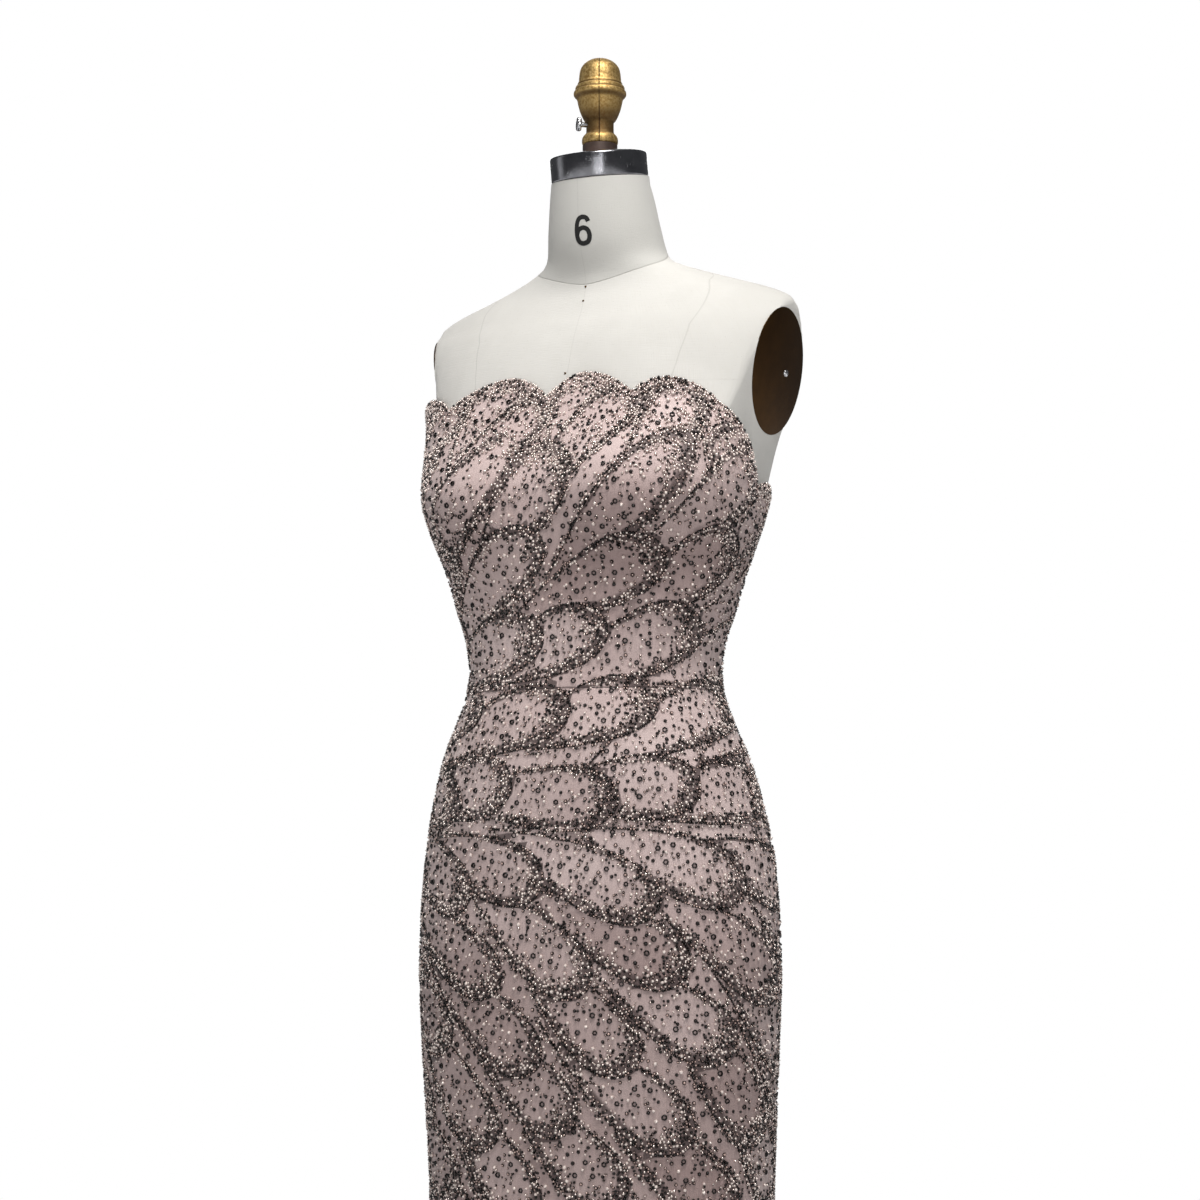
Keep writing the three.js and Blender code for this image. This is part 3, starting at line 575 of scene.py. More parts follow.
def petalRows(length, width):
    # bead places in from a petal's outline, row by row: along, across, depth, share of length, side
    u = np.linspace(0, math.pi / 2, 400)
    t = 0.03 + 0.97 * np.sin(u)
    a, b = (t - 0.5) * length, petalHalf(t) * width
    line = np.concatenate([np.stack([a, b], 1), np.stack([a, -b], 1)[::-1][1:]])
    arcs = np.concatenate([[0], np.cumsum(np.linalg.norm(np.diff(line, axis=0), axis=1))])
    made = []
    for row in range(beadwork["rows"]):
        depth = 1.3 + row * beadwork["rowStep"]
        at = np.arange((row % 2) * beadwork["pitch"] / 2, arcs[-1], beadwork["pitch"])
        spot = np.stack([np.interp(at, arcs, line[:, i]) for i in (0, 1)], 1)
        ahead = np.stack([np.interp(at + 0.5, arcs, line[:, i]) for i in (0, 1)], 1)
        behind = np.stack([np.interp(at - 0.5, arcs, line[:, i]) for i in (0, 1)], 1)
        run = ahead - behind
        run /= np.maximum(np.linalg.norm(run, axis=1, keepdims=True), 1e-6)
        inward = spot + depth * np.stack([run[:, 1], -run[:, 0]], 1)
        gap = np.min(np.linalg.norm(inward[:, None] - line[None, ::4], axis=2), axis=1)
        keep = gap > depth * 0.93
        share = np.interp(at, arcs, np.concatenate([t, t[::-1][1:]]))
        side = np.where(at < arcs[-1] / 2, 1.0, -1.0)
        made.append(np.column_stack([inward, np.full(len(at), depth), share, side, np.full(len(at), row)])[keep])
    return np.concatenate(made)


def bandWidth(share, side, wave):
    # widest round the tip, narrower along the upper edge and towards the root
    low = 4 + 7.5 * smooth(0.1, 0.65, share)
    high = 2.8 + 5.7 * smooth(0.35, 0.85, share)
    return (np.where(side < 0, low, high) + 8.5 * smooth(0.76, 1, share)) * wave


def petalBeads():
    places = {}
    parts = []
    for k, petal in enumerate(petals):
        size = (round(petal["length"]), round(petal["width"]))
        if size not in places:
            places[size] = petalRows(*size)
        rows = places[size]
        phase = rng.uniform(0, 7, 2)
        wave = 1 + 0.16 * np.sin(rows[:, 3] * 9 + phase[0]) + 0.1 * np.sin(rows[:, 1] * 0.31 + phase[1])
        wide = bandWidth(rows[:, 3], rows[:, 4], wave)
        depth = rows[:, 2] / wide
        chance = np.interp(depth, [0.0, 0.8, 1.05, 1.3, 1.7], [1, 0.97, 0.35, 0.1, 0])
        chance[rows[:, 5] == 0] = 1
        keep = rng.uniform(0, 1, len(rows)) < chance
        chosen = rows[keep]
        shake = rng.normal(0, 1, (len(chosen), 2)) * np.where(chosen[:, 5:6] == 0, 0.12, 0.42)
        spots = chosen[:, :2] + shake
        edge = (chosen[:, 5] == 0).astype(float)
        parts.append(np.column_stack([np.full(len(chosen), k), spots, edge, chosen[:, 3], chosen[:, 2]]))
    return np.concatenate(parts)


def innerSpots():
    # loose rows of rings, pearls and small beads inside each petal
    stepA, stepB = beadwork["ringStep"]
    parts = []
    for k, petal in enumerate(petals):
        a = np.arange(-petal["length"] / 2 + 8, petal["length"] / 2, stepA)
        b = np.arange(-petal["width"] / 2, petal["width"] / 2, stepB)
        aa, bb = np.meshgrid(a, b, indexing="ij")
        i, j = np.meshgrid(np.arange(len(a)), np.arange(len(b)), indexing="ij")
        aa = aa + (j % 2) * stepA / 2 + rng.normal(0, 1.5, aa.shape)
        bb = bb + rng.normal(0, 1.4, bb.shape)
        kind = np.where((i + 2 * j) % 4 == 0, 0, np.where((i + j) % 3 == 0, 2, 1))
        t = aa / petal["length"] + 0.5
        inside = np.abs(bb) < petalHalf(t) * petal["width"] - 3
        spots = np.column_stack([np.full(inside.sum(), k), aa[inside], bb[inside], kind[inside]])
        parts.append(spots)
        # small beads between the rings
        over = petal["centre"][2] - figure["waist"]
        count = int(inside.sum() * (2.3 + 2.4 * smooth(110, 230, over)))
        aa = rng.uniform(-petal["length"] / 2, petal["length"] / 2, count * 2)
        bb = rng.uniform(-petal["width"] / 2, petal["width"] / 2, count * 2)
        inside = np.abs(bb) < petalHalf(aa / petal["length"] + 0.5) * petal["width"] - 3
        parts.append(np.column_stack([np.full(inside.sum(), k), aa[inside], bb[inside], np.full(inside.sum(), 3)]))
    return np.concatenate(parts)


def groundSpots():
    # the same loose rows where no petal lies: angle, height, kind
    stepA, stepB = beadwork["ringStep"]
    parts = []
    bottom, peak = figure["hem"] - figure["waist"], 292
    for row in range(int((peak - bottom) / stepB)):
        h = bottom + 6 + row * stepB
        degs, arcs = around(h)
        at = np.arange((row % 2) * stepA / 2, arcs[-1], stepA)
        at = at + rng.normal(0, 1.5, len(at))
        deg = np.interp(at, arcs, degs)
        turn = np.arange(len(at)) + 2 * row
        kind = np.where(turn % 4 == 0, 0, np.where(turn % 3 == 0, 2, np.where(turn % 5 == 0, 3, 1)))
        parts.append(np.column_stack([deg, h + rng.normal(0, 1.4, len(at)), kind]))
    return np.concatenate(parts)


def stripBeads(outline):
    # dense rows on the bare ground close to a petal's outline: angle and height
    tree = KDTree(len(outline))
    for index, point in enumerate(outline):
        tree.insert(point, index)
    tree.balance()
    parts = []
    bottom = figure["hem"] - figure["waist"]
    for row in range(int((285 - bottom) / beadwork["rowStep"])):
        h = bottom + 4 + row * beadwork["rowStep"]
        degs, arcs = around(h)
        at = np.arange((row % 2) * beadwork["pitch"] / 2, arcs[-1], beadwork["pitch"])
        at = at + rng.normal(0, 0.4, len(at))
        parts.append(np.column_stack([np.interp(at, arcs, degs), h + rng.normal(0, 0.35, len(at))]))
    spots = np.concatenate(parts)
    points = gownPoint(spots[:, 0], spots[:, 1])
    bare = np.flatnonzero(topPetal(points) < 0)
    near = np.array([tree.find(points[i])[2] for i in bare])
    return spots[bare[near < rng.uniform(2.5, 5.5, len(bare))]]


def edgeRows(heightAt, downwards, depths, chances, pitch):
    # rows that follow the top edge or the hem
    degs = np.linspace(-180, 180, 7201)
    line = gownPoint(degs, heightAt(degs))
    arcs = np.concatenate([[0], np.cumsum(np.linalg.norm(np.diff(line, axis=0), axis=1))])
    parts = []
    for row, (depth, chance) in enumerate(zip(depths, chances)):
        at = np.arange((row % 2) * pitch / 2, arcs[-1], pitch)
        at = at[rng.uniform(0, 1, len(at)) < chance]
        deg = np.interp(at, arcs, degs)
        h = heightAt(deg)
        radius = np.linalg.norm(gownPoint(deg, h)[:, :2], axis=1)
        slope = (heightAt(np.clip(deg + 0.4, -180, 180)) - heightAt(np.clip(deg - 0.4, -180, 180))) / (
            0.8 * perDegree * radius
        )
        slope = np.clip(slope, -1.6, 1.6)
        cos = 1 / np.sqrt(1 + slope * slope)
        shake = 0.1 if row == 0 else 0.4
        deg = deg + (depth * slope * cos * downwards + rng.normal(0, shake, len(at))) / radius / perDegree
        h = h - downwards * depth * cos + rng.normal(0, shake, len(at))
        parts.append(np.column_stack([deg, h, np.full(len(at), float(row == 0))]))
    return np.concatenate(parts)


class Places:
    # keeps bead places that aren't too close to one another
    def __init__(self):
        self.cell = 4.5
        self.grid = {}
        self.kept = []

    def offer(self, deg, h, size, point):
        cx = int(math.floor((deg + 180) * perDegree * 150 / self.cell))
        cy = int(math.floor(h / self.cell))
        x, y, z = point
        for i in (cx - 1, cx, cx + 1):
            for j in (cy - 1, cy, cy + 1):
                for px, py, pz, ps in self.grid.get((i, j), ()):
                    least = (size + ps) * 0.5 * beadwork["clear"]
                    if (px - x) ** 2 + (py - y) ** 2 + (pz - z) ** 2 < least * least:
                        return False
        self.grid.setdefault((cx, cy), []).append((x, y, z, size))
        return True


def clearOfSeams(deg, h):
    # beads stop short of the seams, the zip and the edges
    radius = reach(deg, h)
    away = np.minimum(np.abs(deg - figure["sideSeam"]), np.abs(deg + figure["sideSeam"])) * perDegree * radius
    clear = (away > beadwork["seamClear"]) & (np.abs(h) > beadwork["seamClear"])
    back = (180 - np.abs(deg)) * perDegree * radius
    clear &= back > np.where(h > beadwork["zipBottom"], beadwork["zipClear"], beadwork["seamClear"])
    clear &= h < topAt(deg) + 0.2
    return clear & (h > figure["hem"] - figure["waist"] + 0.8)


def placeBeads():
    # every bead on the gown: angle, height, size, kind and place
    kinds = {"dark": 0, "silver": 1, "pale": 2, "ring": 3, "smallRing": 4}
    places = Places()
    found = []

    def take(deg, h, sizes, kindOf):
        clear = clearOfSeams(deg, h)
        points = gownPoint(deg, h)
        for i in np.flatnonzero(clear):
            if places.offer(deg[i], h[i], sizes[i], points[i]):
                found.append((deg[i], h[i], sizes[i], kindOf[i]))

    def mixed(count, shares):
        return rng.choice(3, count, p=shares)

    bottom = figure["hem"] - figure["waist"]
    topEdge = edgeRows(topAt, 1, np.arange(0.4, 16, 2.0), [1, 1, 0.97, 0.94, 0.85, 0.7, 0.5, 0.3], 2.4)
    hemEdge = edgeRows(
        lambda deg: np.full(np.shape(deg), bottom, float), -1, np.arange(1.6, 13, 2.15), [1, 1, 0.9, 0.7, 0.4, 0.2], 2.6
    )
    for rows, shares in ((topEdge, (0.3, 0.4, 0.3)), (hemEdge, (0.6, 0.25, 0.15))):
        sizes = rng.uniform(*beadwork["size"], len(rows))
        take(rows[:, 0], rows[:, 1], sizes, mixed(len(rows), shares))
    print(f"{len(found)} beads on the edges")

    band = petalBeads()
    which = band[:, 0].astype(int)
    deg, h, good = ontoGown(which, band[:, 1], band[:, 2])
    points = gownPoint(deg, h)
    seen = good & (topPetal(points) == which)
    band, deg, h = band[seen], deg[seen], h[seen]
    edge = band[:, 3] > 0.5
    outline = gownPoint(deg[edge], h[edge])
    outlineOf = band[edge, 0].astype(int)
    order = np.argsort(~edge, kind="stable")
    band, deg, h, edge = band[order], deg[order], h[order], edge[order]
    sizes = np.where(edge, beadwork["edgeSize"], rng.uniform(*beadwork["size"], len(band)))
    big = (rng.uniform(0, 1, len(band)) < 0.09) & ~edge
    sizes = np.where(big, rng.uniform(*beadwork["pearl"], len(band)), sizes)
    kind = np.where(edge, mixed(len(band), (0.84, 0.13, 0.03)), mixed(len(band), (0.62, 0.22, 0.16)))
    kind = np.where(big, rng.choice([1, 2], len(band)), kind)
    bright = rng.uniform(0, 1, len(band)) < 0.6 * smooth(130, 260, h)
    kind = np.where(bright, rng.choice([1, 2], len(band)), kind)
    take(deg, h, sizes, kind)
    strips = stripBeads(outline)
    take(strips[:, 0], strips[:, 1], rng.uniform(*beadwork["size"], len(strips)), mixed(len(strips), (0.56, 0.26, 0.18)))
    print(f"{len(found)} with the bands and strips")

    inner = innerSpots()
    which = inner[:, 0].astype(int)
    deg, h, good = ontoGown(which, inner[:, 1], inner[:, 2])
    seen = good & (topPetal(gownPoint(deg, h)) == which)
    inner, deg, h = inner[seen], deg[seen], h[seen]
    ground = groundSpots()
    bare = topPetal(gownPoint(ground[:, 0], ground[:, 1])) < 0
    deg, h = np.concatenate([deg, ground[bare, 0]]), np.concatenate([h, ground[bare, 1]])
    what = np.concatenate([inner[:, 3], ground[bare, 2]])
    for wanted in (0, 1, 2, 3):
        mine = what == wanted
        count = int(mine.sum())
        if wanted == 0:
            sizes, kind = rng.uniform(*beadwork["ring"], count), np.full(count, kinds["ring"])
        elif wanted == 1:
            sizes, kind = rng.uniform(*beadwork["smallRing"], count), np.full(count, kinds["smallRing"])
        elif wanted == 2:
            sizes, kind = rng.uniform(*beadwork["pearl"], count), np.full(count, kinds["pale"])
        else:
            sizes, kind = rng.uniform(*beadwork["small"], count), mixed(count, (0.64, 0.18, 0.18))
            light = rng.uniform(0, 1, count) < 0.5 * smooth(120, 230, h[mine])
            kind = np.where(light, rng.choice([1, 2], count), kind)
        take(deg[mine], h[mine], sizes, kind)
    print(f"{len(found)} with the rings and pearls")
    return np.array(found), outline, outlineOf, kinds


beads, outline, outlineOf, beadKinds = placeBeads()


# ---- gown panels

panels = {
    "bodice_front": {"from": -95, "to": 95, "cell": 5.2},
    "bodice_back_left": {"from": 95, "to": 180, "cell": 5.2},
    "bodice_back_right": {"from": -180, "to": -95, "cell": 5.2},
    "skirt_front": {"from": -95, "to": 95, "cell": 5.8},
    "skirt_back_left": {"from": 95, "to": 180, "cell": 5.8},
    "skirt_back_right": {"from": -180, "to": -95, "cell": 5.8},
}
cloth = {
    "seamGap": 0.1, "zipHalf": 2.45, "zipTaper": 50, "zipBottom": -150, "bandRise": 0.7, "thick": 0.9, "tuck": 0.35,
    "rim": 1.8,  # width of the outermost cells
}
edgeTree = KDTree(len(outline))
for index, point in enumerate(outline):
    edgeTree.insert(point, index)
edgeTree.balance()


def panelEdges(side, h, deg):
    # half gap in degrees at a seam or the zip
    radius = reach(deg, h)
    if abs(deg) == 180:
        opened = smooth(cloth["zipBottom"] - cloth["zipTaper"], cloth["zipBottom"], h)
        gap = cloth["seamGap"] + (cloth["zipHalf"] - cloth["seamGap"]) * opened
    else:
        gap = cloth["seamGap"]
    return side * gap / radius / perDegree


def clothPanel(name, plan):
    skirt = name.startswith("skirt")
    level = -245 if skirt else 190
    degs, arcs = around(level, 720)
    start, end = np.interp([plan["from"], plan["to"]], degs, arcs)
    tall = 1058 if skirt else 240
    cols, rows = round((end - start) / plan["cell"]), round(tall / plan["cell"])
    mesh = gridMesh(name + "_cloth", cols, rows)
    share = readPoints(mesh)
    # the outermost cells are narrow, so that the seams stay crisp
    rimU, rimV = cloth["rim"] / (end - start), cloth["rim"] / tall
    u = np.interp(share[:, 0] * cols, [0, 1, cols - 1, cols], [0, rimU, 1 - rimU, 1])
    v = np.interp(share[:, 1] * rows, [0, 1, rows - 1, rows], [0, rimV, 1 - rimV, 1])
    base = np.interp(start + u * (end - start), arcs, degs)
    bottom = figure["hem"] - figure["waist"] if skirt else cloth["seamGap"]
    top = np.full(len(u), -cloth["seamGap"]) if skirt else topAt(base)
    h = bottom + (top - bottom) * v
    low = plan["from"] + panelEdges(1, h, plan["from"])
    high = plan["to"] - panelEdges(1, h, plan["to"])
    deg = low + (base - plan["from"]) / (plan["to"] - plan["from"]) * (high - low)

    points = gownPoint(deg, h)
    top = topPetal(points)
    own, over = np.full(len(points), 30.0), np.full(len(points), 30.0)
    for i, point in enumerate(points):
        for _, nearest, dist in edgeTree.find_range(point, 26):
            if outlineOf[nearest] == top[i]:
                own[i] = min(own[i], dist)
            else:
                over[i] = min(over[i], dist)
    t, side = np.full(len(points), 0.5), np.zeros(len(points))
    lies = top >= 0
    away = points[lies] - petalData["centre"][top[lies]]
    t[lies] = np.sum(away * petalData["along"][top[lies]], 1) / petalData["length"][top[lies]] + 0.5
    side[lies] = np.sum(away * petalData["across"][top[lies]], 1)
    wide = bandWidth(t, side, 1.0)
    own = np.where(lies, own, 30)
    over = np.where(lies & (own < over), 12, over)
    own = own + 14 * smooth(10, 3, topAt(deg) - h)  # no painted band shade along the top edge
    band = smooth(1.15, 0.6, own / wide)
    # petal tone: painted light and shade by height, lighter at the hip, waist and upper bust, darker under the bust and
    # low on the skirt, plus a random tint per petal
    tone = np.interp(h, [-900, -260, -160, -60, 40, 110, 160, 240], [0.85, 0.7, 0.15, 0.02, 0.25, 0.75, 0.6, 0.05])
    tone = np.clip(tone + 0.3 * (petalTint[np.maximum(top, 0)] - 0.5), 0, 1)
    edges = np.minimum(u, 1 - u) * (end - start)
    edges = np.minimum(edges, np.minimum(v, 1 - v) * tall)
    seam = smooth(1.5, 0, edges)
    rise = cloth["bandRise"] * band - cloth["tuck"] * seam
    drag = 0.35 * np.sin(deg * 0.9 + 4 * np.sin(h * 0.011)) * np.sin(h * 0.045 + deg * 0.11)
    writePoints(mesh, gownPoint(deg, h, figure["wall"] - 0.4 + rise + drag * (1 - seam)) * mm)
    arcHere = deg * perDegree * 150
    addNumbers(mesh, "clothPlace", np.stack([arcHere, h, np.zeros(len(h))], 1) * mm)
    away = np.minimum(edges, 20)
    numbers = {"petalEdge": own, "overEdge": over, "bandWide": wide, "petalTone": tone, "seamAway": away}
    for label, values in numbers.items():
        addNumbers(mesh, label, values)
    piece = addObject(name + "_cloth", mesh, "net")
    wall = piece.modifiers.new("wall", "SOLIDIFY")
    wall.thickness, wall.offset = cloth["thick"] * mm, -1
    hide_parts(name)
    return piece


clothPieces = {name: clothPanel(name, plan) for name, plan in panels.items()}
print("gown panels made")


# ---- beads as joined meshes


def beadShape(segments, height, light=None):
    # a small domed bead that covers as much as a round one; light is the painted highlight tone at its top
    bm = bmesh.new()
    wide = math.sqrt(math.pi * 0.25 * 2 / (segments * math.sin(2 * math.pi / segments)))
    bmesh.ops.create_cone(bm, segments=segments, radius1=wide, radius2=0, depth=height, cap_ends=True)
    bmesh.ops.translate(bm, vec=(0, 0, height * 0.3), verts=bm.verts[:])
    bmesh.ops.remove_doubles(bm, verts=bm.verts[:], dist=1e-4)
    bmesh.ops.triangulate(bm, faces=bm.faces[:])
    bmesh.ops.recalc_face_normals(bm, faces=bm.faces[:])
    return shapeOf(bm, light)


def ringShape(segments):
    # a low ring with a three-sided section
    bm = bmesh.new()
    section = [bm.verts.new(p) for p in ((0.5, 0, -0.12), (0.37, 0, 0.16), (0.2, 0, -0.12))]
    edges = [bm.edges.new((section[i], section[(i + 1) % 3])) for i in range(3)]
    bmesh.ops.spin(
        bm, geom=section + edges, cent=(0, 0, 0), axis=(0, 0, 1), angle=2 * math.pi, steps=segments, use_merge=True
    )
    bmesh.ops.triangulate(bm, faces=bm.faces[:])
    bmesh.ops.recalc_face_normals(bm, faces=bm.faces[:])
    return shapeOf(bm, None)


def shapeOf(bm, light):
    bm.verts.ensure_lookup_table()
    bm.verts.index_update()
    points = np.array([v.co[:] for v in bm.verts])
    faces = np.array([[v.index for v in face.verts] for face in bm.faces])
    bm.free()
    tone = np.zeros(len(points))
    if light is not None:
        # the top point carries the painted highlight
        tone[np.hypot(points[:, 0], points[:, 1]) < 0.1] = light
    return points, faces, tone


def turns(normals, spins, tilts):
    # frames that stand on the cloth, turned and tilted
    helper = np.where(np.abs(normals[:, 2:3]) < 0.9, [[0, 0, 1.0]], [[1.0, 0, 0]])
    x = np.cross(helper, normals)
    x /= np.linalg.norm(x, axis=1, keepdims=True)
    y = np.cross(normals, x)
    c, s = np.cos(spins)[:, None], np.sin(spins)[:, None]
    x, y = x * c + y * s, y * c - x * s
    normals = normals + x * tilts[:, 0:1] + y * tilts[:, 1:2]
    normals /= np.linalg.norm(normals, axis=1, keepdims=True)
    x = x - normals * np.sum(x * normals, 1, keepdims=True)
    x /= np.linalg.norm(x, axis=1, keepdims=True)
    return np.stack([x, np.cross(normals, x), normals], 2)


def joinBeads(name, shape, rows, finish, tilt, lift):
    points, faces, tone = shape
    count = len(rows)
    deg, h, sizes = rows[:, 0], rows[:, 1], rows[:, 2]
    normals = gownNormal(deg, h)
    rise = figure["wall"] - 0.4 + cloth["bandRise"] * 0.8 + lift * sizes
    centres = gownPoint(deg, h) + normals * rise[:, None]
    frames = turns(normals, rng.uniform(0, 2 * math.pi, count), rng.normal(0, tilt, (count, 2)))
    corners = np.einsum("nij,vj->nvi", frames, points) * sizes[:, None, None] + centres[:, None]
    index = faces[None] + np.arange(count)[:, None, None] * len(points)
    mesh = bpy.data.meshes.new(name)
    mesh.vertices.add(count * len(points))
    mesh.loops.add(index.size)
    mesh.polygons.add(count * len(faces))
    mesh.vertices.foreach_set("co", (corners * mm).astype(np.float32).ravel())
    mesh.loops.foreach_set("vertex_index", index.astype(np.int32).ravel())
    mesh.polygons.foreach_set("loop_start", np.arange(0, index.size, 3, dtype=np.int32))
    mesh.polygons.foreach_set("use_smooth", np.ones(count * len(faces), bool))
    mesh.update(calc_edges=True)
    # painted highlight: about half the dark beads get a light tone at their top point; the silver and pale ones all do,
    # over a random tone
    if finish == "dark":
        glint = np.where(rng.uniform(0, 1, count) < 0.5, rng.uniform(0.5, 1, count), 0.05)
        own = rng.uniform(0, 0.03, count)[:, None] + tone[None] * glint[:, None]
    else:
        own = rng.uniform(0.3, 0.9, count)[:, None] + tone[None] * 0.5
    addNumbers(mesh, "beadTone", np.clip(own, 0, 1).ravel())
    return addObject(name, mesh, finish)


def sewBeads():
    fill, round5, domed, ring = beadShape(5, 0.6, 1.0), beadShape(5, 0.6, 1.0), beadShape(6, 0.42, 1.0), ringShape(6)
    looks = {
        "dark": (fill, "dark", "dark_beads", 0.3, 0.1),
        "silver": (round5, "silver", "silver_beads", 0.35, 0.12),
        "pale": (round5, "pale", "pale_beads", 0.25, 0.12),
        "ring": (ring, "dark", "dark_beads", 0.08, 0.02),
        "smallRing": (domed, "dark", "dark_beads", 0.08, 0.05),
    }
    regions = {
        "bodice_front": (beads[:, 1] > 0) & (np.abs(beads[:, 0]) < figure["sideSeam"]),
        "bodice_back": (beads[:, 1] > 0) & (np.abs(beads[:, 0]) >= figure["sideSeam"]),
        "skirt_front": (beads[:, 1] < 0) & (np.abs(beads[:, 0]) < figure["sideSeam"]),
        "skirt_back": (beads[:, 1] < 0) & (np.abs(beads[:, 0]) >= figure["sideSeam"]),
    }
    sewn = {}
    total = 0
    for region, here in regions.items():
        sewn[region] = []
        for kind, (shape, finish, slot, tilt, lift) in looks.items():
            rows = beads[here & (beads[:, 3] == beadKinds[kind])]
            name = f"{region}_{kind}_beads"
            sewn[region].append(joinBeads(name, shape, rows, finish, tilt, lift))
            total += len(rows) * len(shape[1])
            print(f"{name}: {len(rows)} beads, {len(rows) * len(shape[1])} triangles")
    print(f"{total} triangles of beads")
    return sewn


sewnBeads = sewBeads()


# ---- dress form

form = {
    "sides": 96, "step": 7.5, "bottom": -290, "top": 508, "ease": 2, "hipEase": 2, "padding": 3,
    "neckTop": {"h": 495, "dip": 10},
    "armhole": {"x": 174, "y": 24, "h": 299, "faceFront": 8, "faceDown": 12},
}


armPlate = {"halfWide": 43, "halfHigh": 60, "lean": 8, "bottom": -0.4, "thick": 0.6, "edge": 0.3, "screwBack": 14}


def armholeFrame(sign):
    hole = form["armhole"]
    yaw, pitch = hole["faceFront"] * perDegree, hole["faceDown"] * perDegree
    z = Vector((sign * math.cos(yaw) * math.cos(pitch), -math.sin(yaw) * math.cos(pitch), -math.sin(pitch)))
    x = Vector((0, 0, 1)).cross(z).normalized()
    y = z.cross(x)
    made = Matrix((x, y, z)).transposed().to_4x4()
    made.translation = Vector((sign * hole["x"], hole["y"], figure["waist"] + hole["h"])) * mm
    return made


def neckFrame(up):
    # on the middle of the neck's end, z square to it
    end = form["neckTop"]
    made = Matrix.Translation((0, 0, (figure["waist"] + end["h"]) * mm)) @ Matrix.Rotation(end["dip"] * perDegree, 4, "X")
    return made @ Matrix.Translation((0, 0, up * mm))


def formPoint(deg, h, out=0.0):
    inset = form["ease"] + form["hipEase"] * smooth(0, 40, -h) + 26 * smooth(200, 300, -h)
    return figurePoint(deg, h, out - inset, figure["bust"]["rise"] - form["padding"])


def formTorso():
    rows = round((form["top"] - form["bottom"]) / form["step"])
    bm = bmesh.new()
    bmesh.ops.create_grid(bm, x_segments=form["sides"], y_segments=rows, size=0.5)
    degKey, hKey = bm.verts.layers.float.new("degrees"), bm.verts.layers.float.new("height")
    degs = np.array([v.co.x + 0.5 for v in bm.verts]) * 360 - 180
    # levels crowd over the shoulders, where the shape turns fastest
    raw = np.array([v.co.y + 0.5 for v in bm.verts])
    heights = np.interp(raw, [0, 0.72, 0.93, 1], [form["bottom"], 330, 440, form["top"]])
    for vert, deg, h, point in zip(bm.verts, degs, heights, formPoint(degs, heights) * mm):
        vert.co = point
        vert[degKey], vert[hKey] = deg, h
    bmesh.ops.remove_doubles(bm, verts=bm.verts[:], dist=1e-6)
    bmesh.ops.holes_fill(bm, edges=bm.edges[:], sides=0)
    for end, soft in ((armholeFrame(1), 6), (armholeFrame(-1), 6), (neckFrame(0), 0)):
        out = end.to_3x3() @ Vector((0, 0, 1))
        for inwards in (0.8, 0.45, 0.2) if soft else ():
            bmesh.ops.bisect_plane(
                bm, geom=bm.verts[:] + bm.edges[:] + bm.faces[:], dist=1e-7,
                plane_co=end.translation - out * inwards * soft * mm, plane_no=out,
            )
        cut = bmesh.ops.bisect_plane(
            bm, geom=bm.verts[:] + bm.edges[:] + bm.faces[:], dist=1e-7,
            plane_co=end.translation, plane_no=out, clear_outer=True,
        )
        rim = [e for e in cut["geom_cut"] if isinstance(e, bmesh.types.BMEdge)]
        bmesh.ops.contextual_create(bm, geom=rim)
        for vert in bm.verts if soft else ():
            local = end.inverted() @ vert.co / mm
            depth = soft + local.z
            if depth > 0:
                # rounded like a quarter of a circle, towards the armhole's middle
                middle = Vector((local.x, local.y, 0))
                turned = Matrix.Rotation(-math.copysign(armPlate["lean"], end.translation.x) * perDegree, 3, "Z") @ middle
                share = math.hypot(turned.x / armPlate["halfWide"], turned.y / armPlate["halfHigh"])
                room = middle.length * (1 - 1 / share) - 1.2
                pull = soft - math.sqrt(max(soft * soft - depth * depth, 0))
                local -= middle.normalized() * max(min(pull * 0.8, room), 0)
                vert.co = end @ (local * mm)
    mesh = meshFrom(bm, "form_torso_canvas", 38)
    points = readPoints(mesh) / mm
    h = points[:, 2] - figure["waist"]
    deg = np.degrees(np.arctan2(points[:, 0], centreAt(h) - points[:, 1]))
    radius = reach(deg, h)
    neck = h - (388 + 52 * np.abs(np.sin(deg * perDegree / 2)) ** 1.6)
    aside = np.abs(deg)
    princess = (aside - np.interp(h, [172, 289, 311, 339, 386, 402], [40, 52.5, 55.5, 60.5, 76, 90])) * perDegree * radius
    princess = np.where(h > 402, 30, princess)
    centre = np.where(aside < 90, points[:, 0] + 1, 30)
    side = np.where(h < 285, (aside - 87) * perDegree * radius, 30)
    for label, values in (
        ("neckSeam", neck), ("princessSeam", princess), ("centreSeam", centre), ("sideSeam", side)
    ):
        addNumbers(mesh, label, np.clip(values, -30, 30))
    addNumbers(mesh, "clothPlace", np.stack([deg * perDegree * 120, h, np.zeros(len(h))], 1) * mm)
    piece = addObject("form_torso_canvas", mesh, "canvas")
    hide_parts("form_torso")
    return piece


formTorso()


sizeMark = {
    "deg": 3.2, "h": 437.5, "tall": 29, "stroke": 0.15, "stand": 0.15,
    # the 6's middle line from its upper end round the bowl, as shares of its height
    "line": [
        (0.205, 0.77), (0.165, 0.86), (0.09, 0.915), (0.0, 0.925), (-0.09, 0.895), (-0.16, 0.81), (-0.2, 0.68),
        (-0.215, 0.52), (-0.215, 0.38), (-0.195, 0.24), (-0.13, 0.12), (-0.01, 0.075), (0.12, 0.11), (0.195, 0.21),
        (0.215, 0.33), (0.19, 0.45), (0.12, 0.54), (0.01, 0.575), (-0.1, 0.545), (-0.17, 0.48), (-0.205, 0.38),
    ],
}


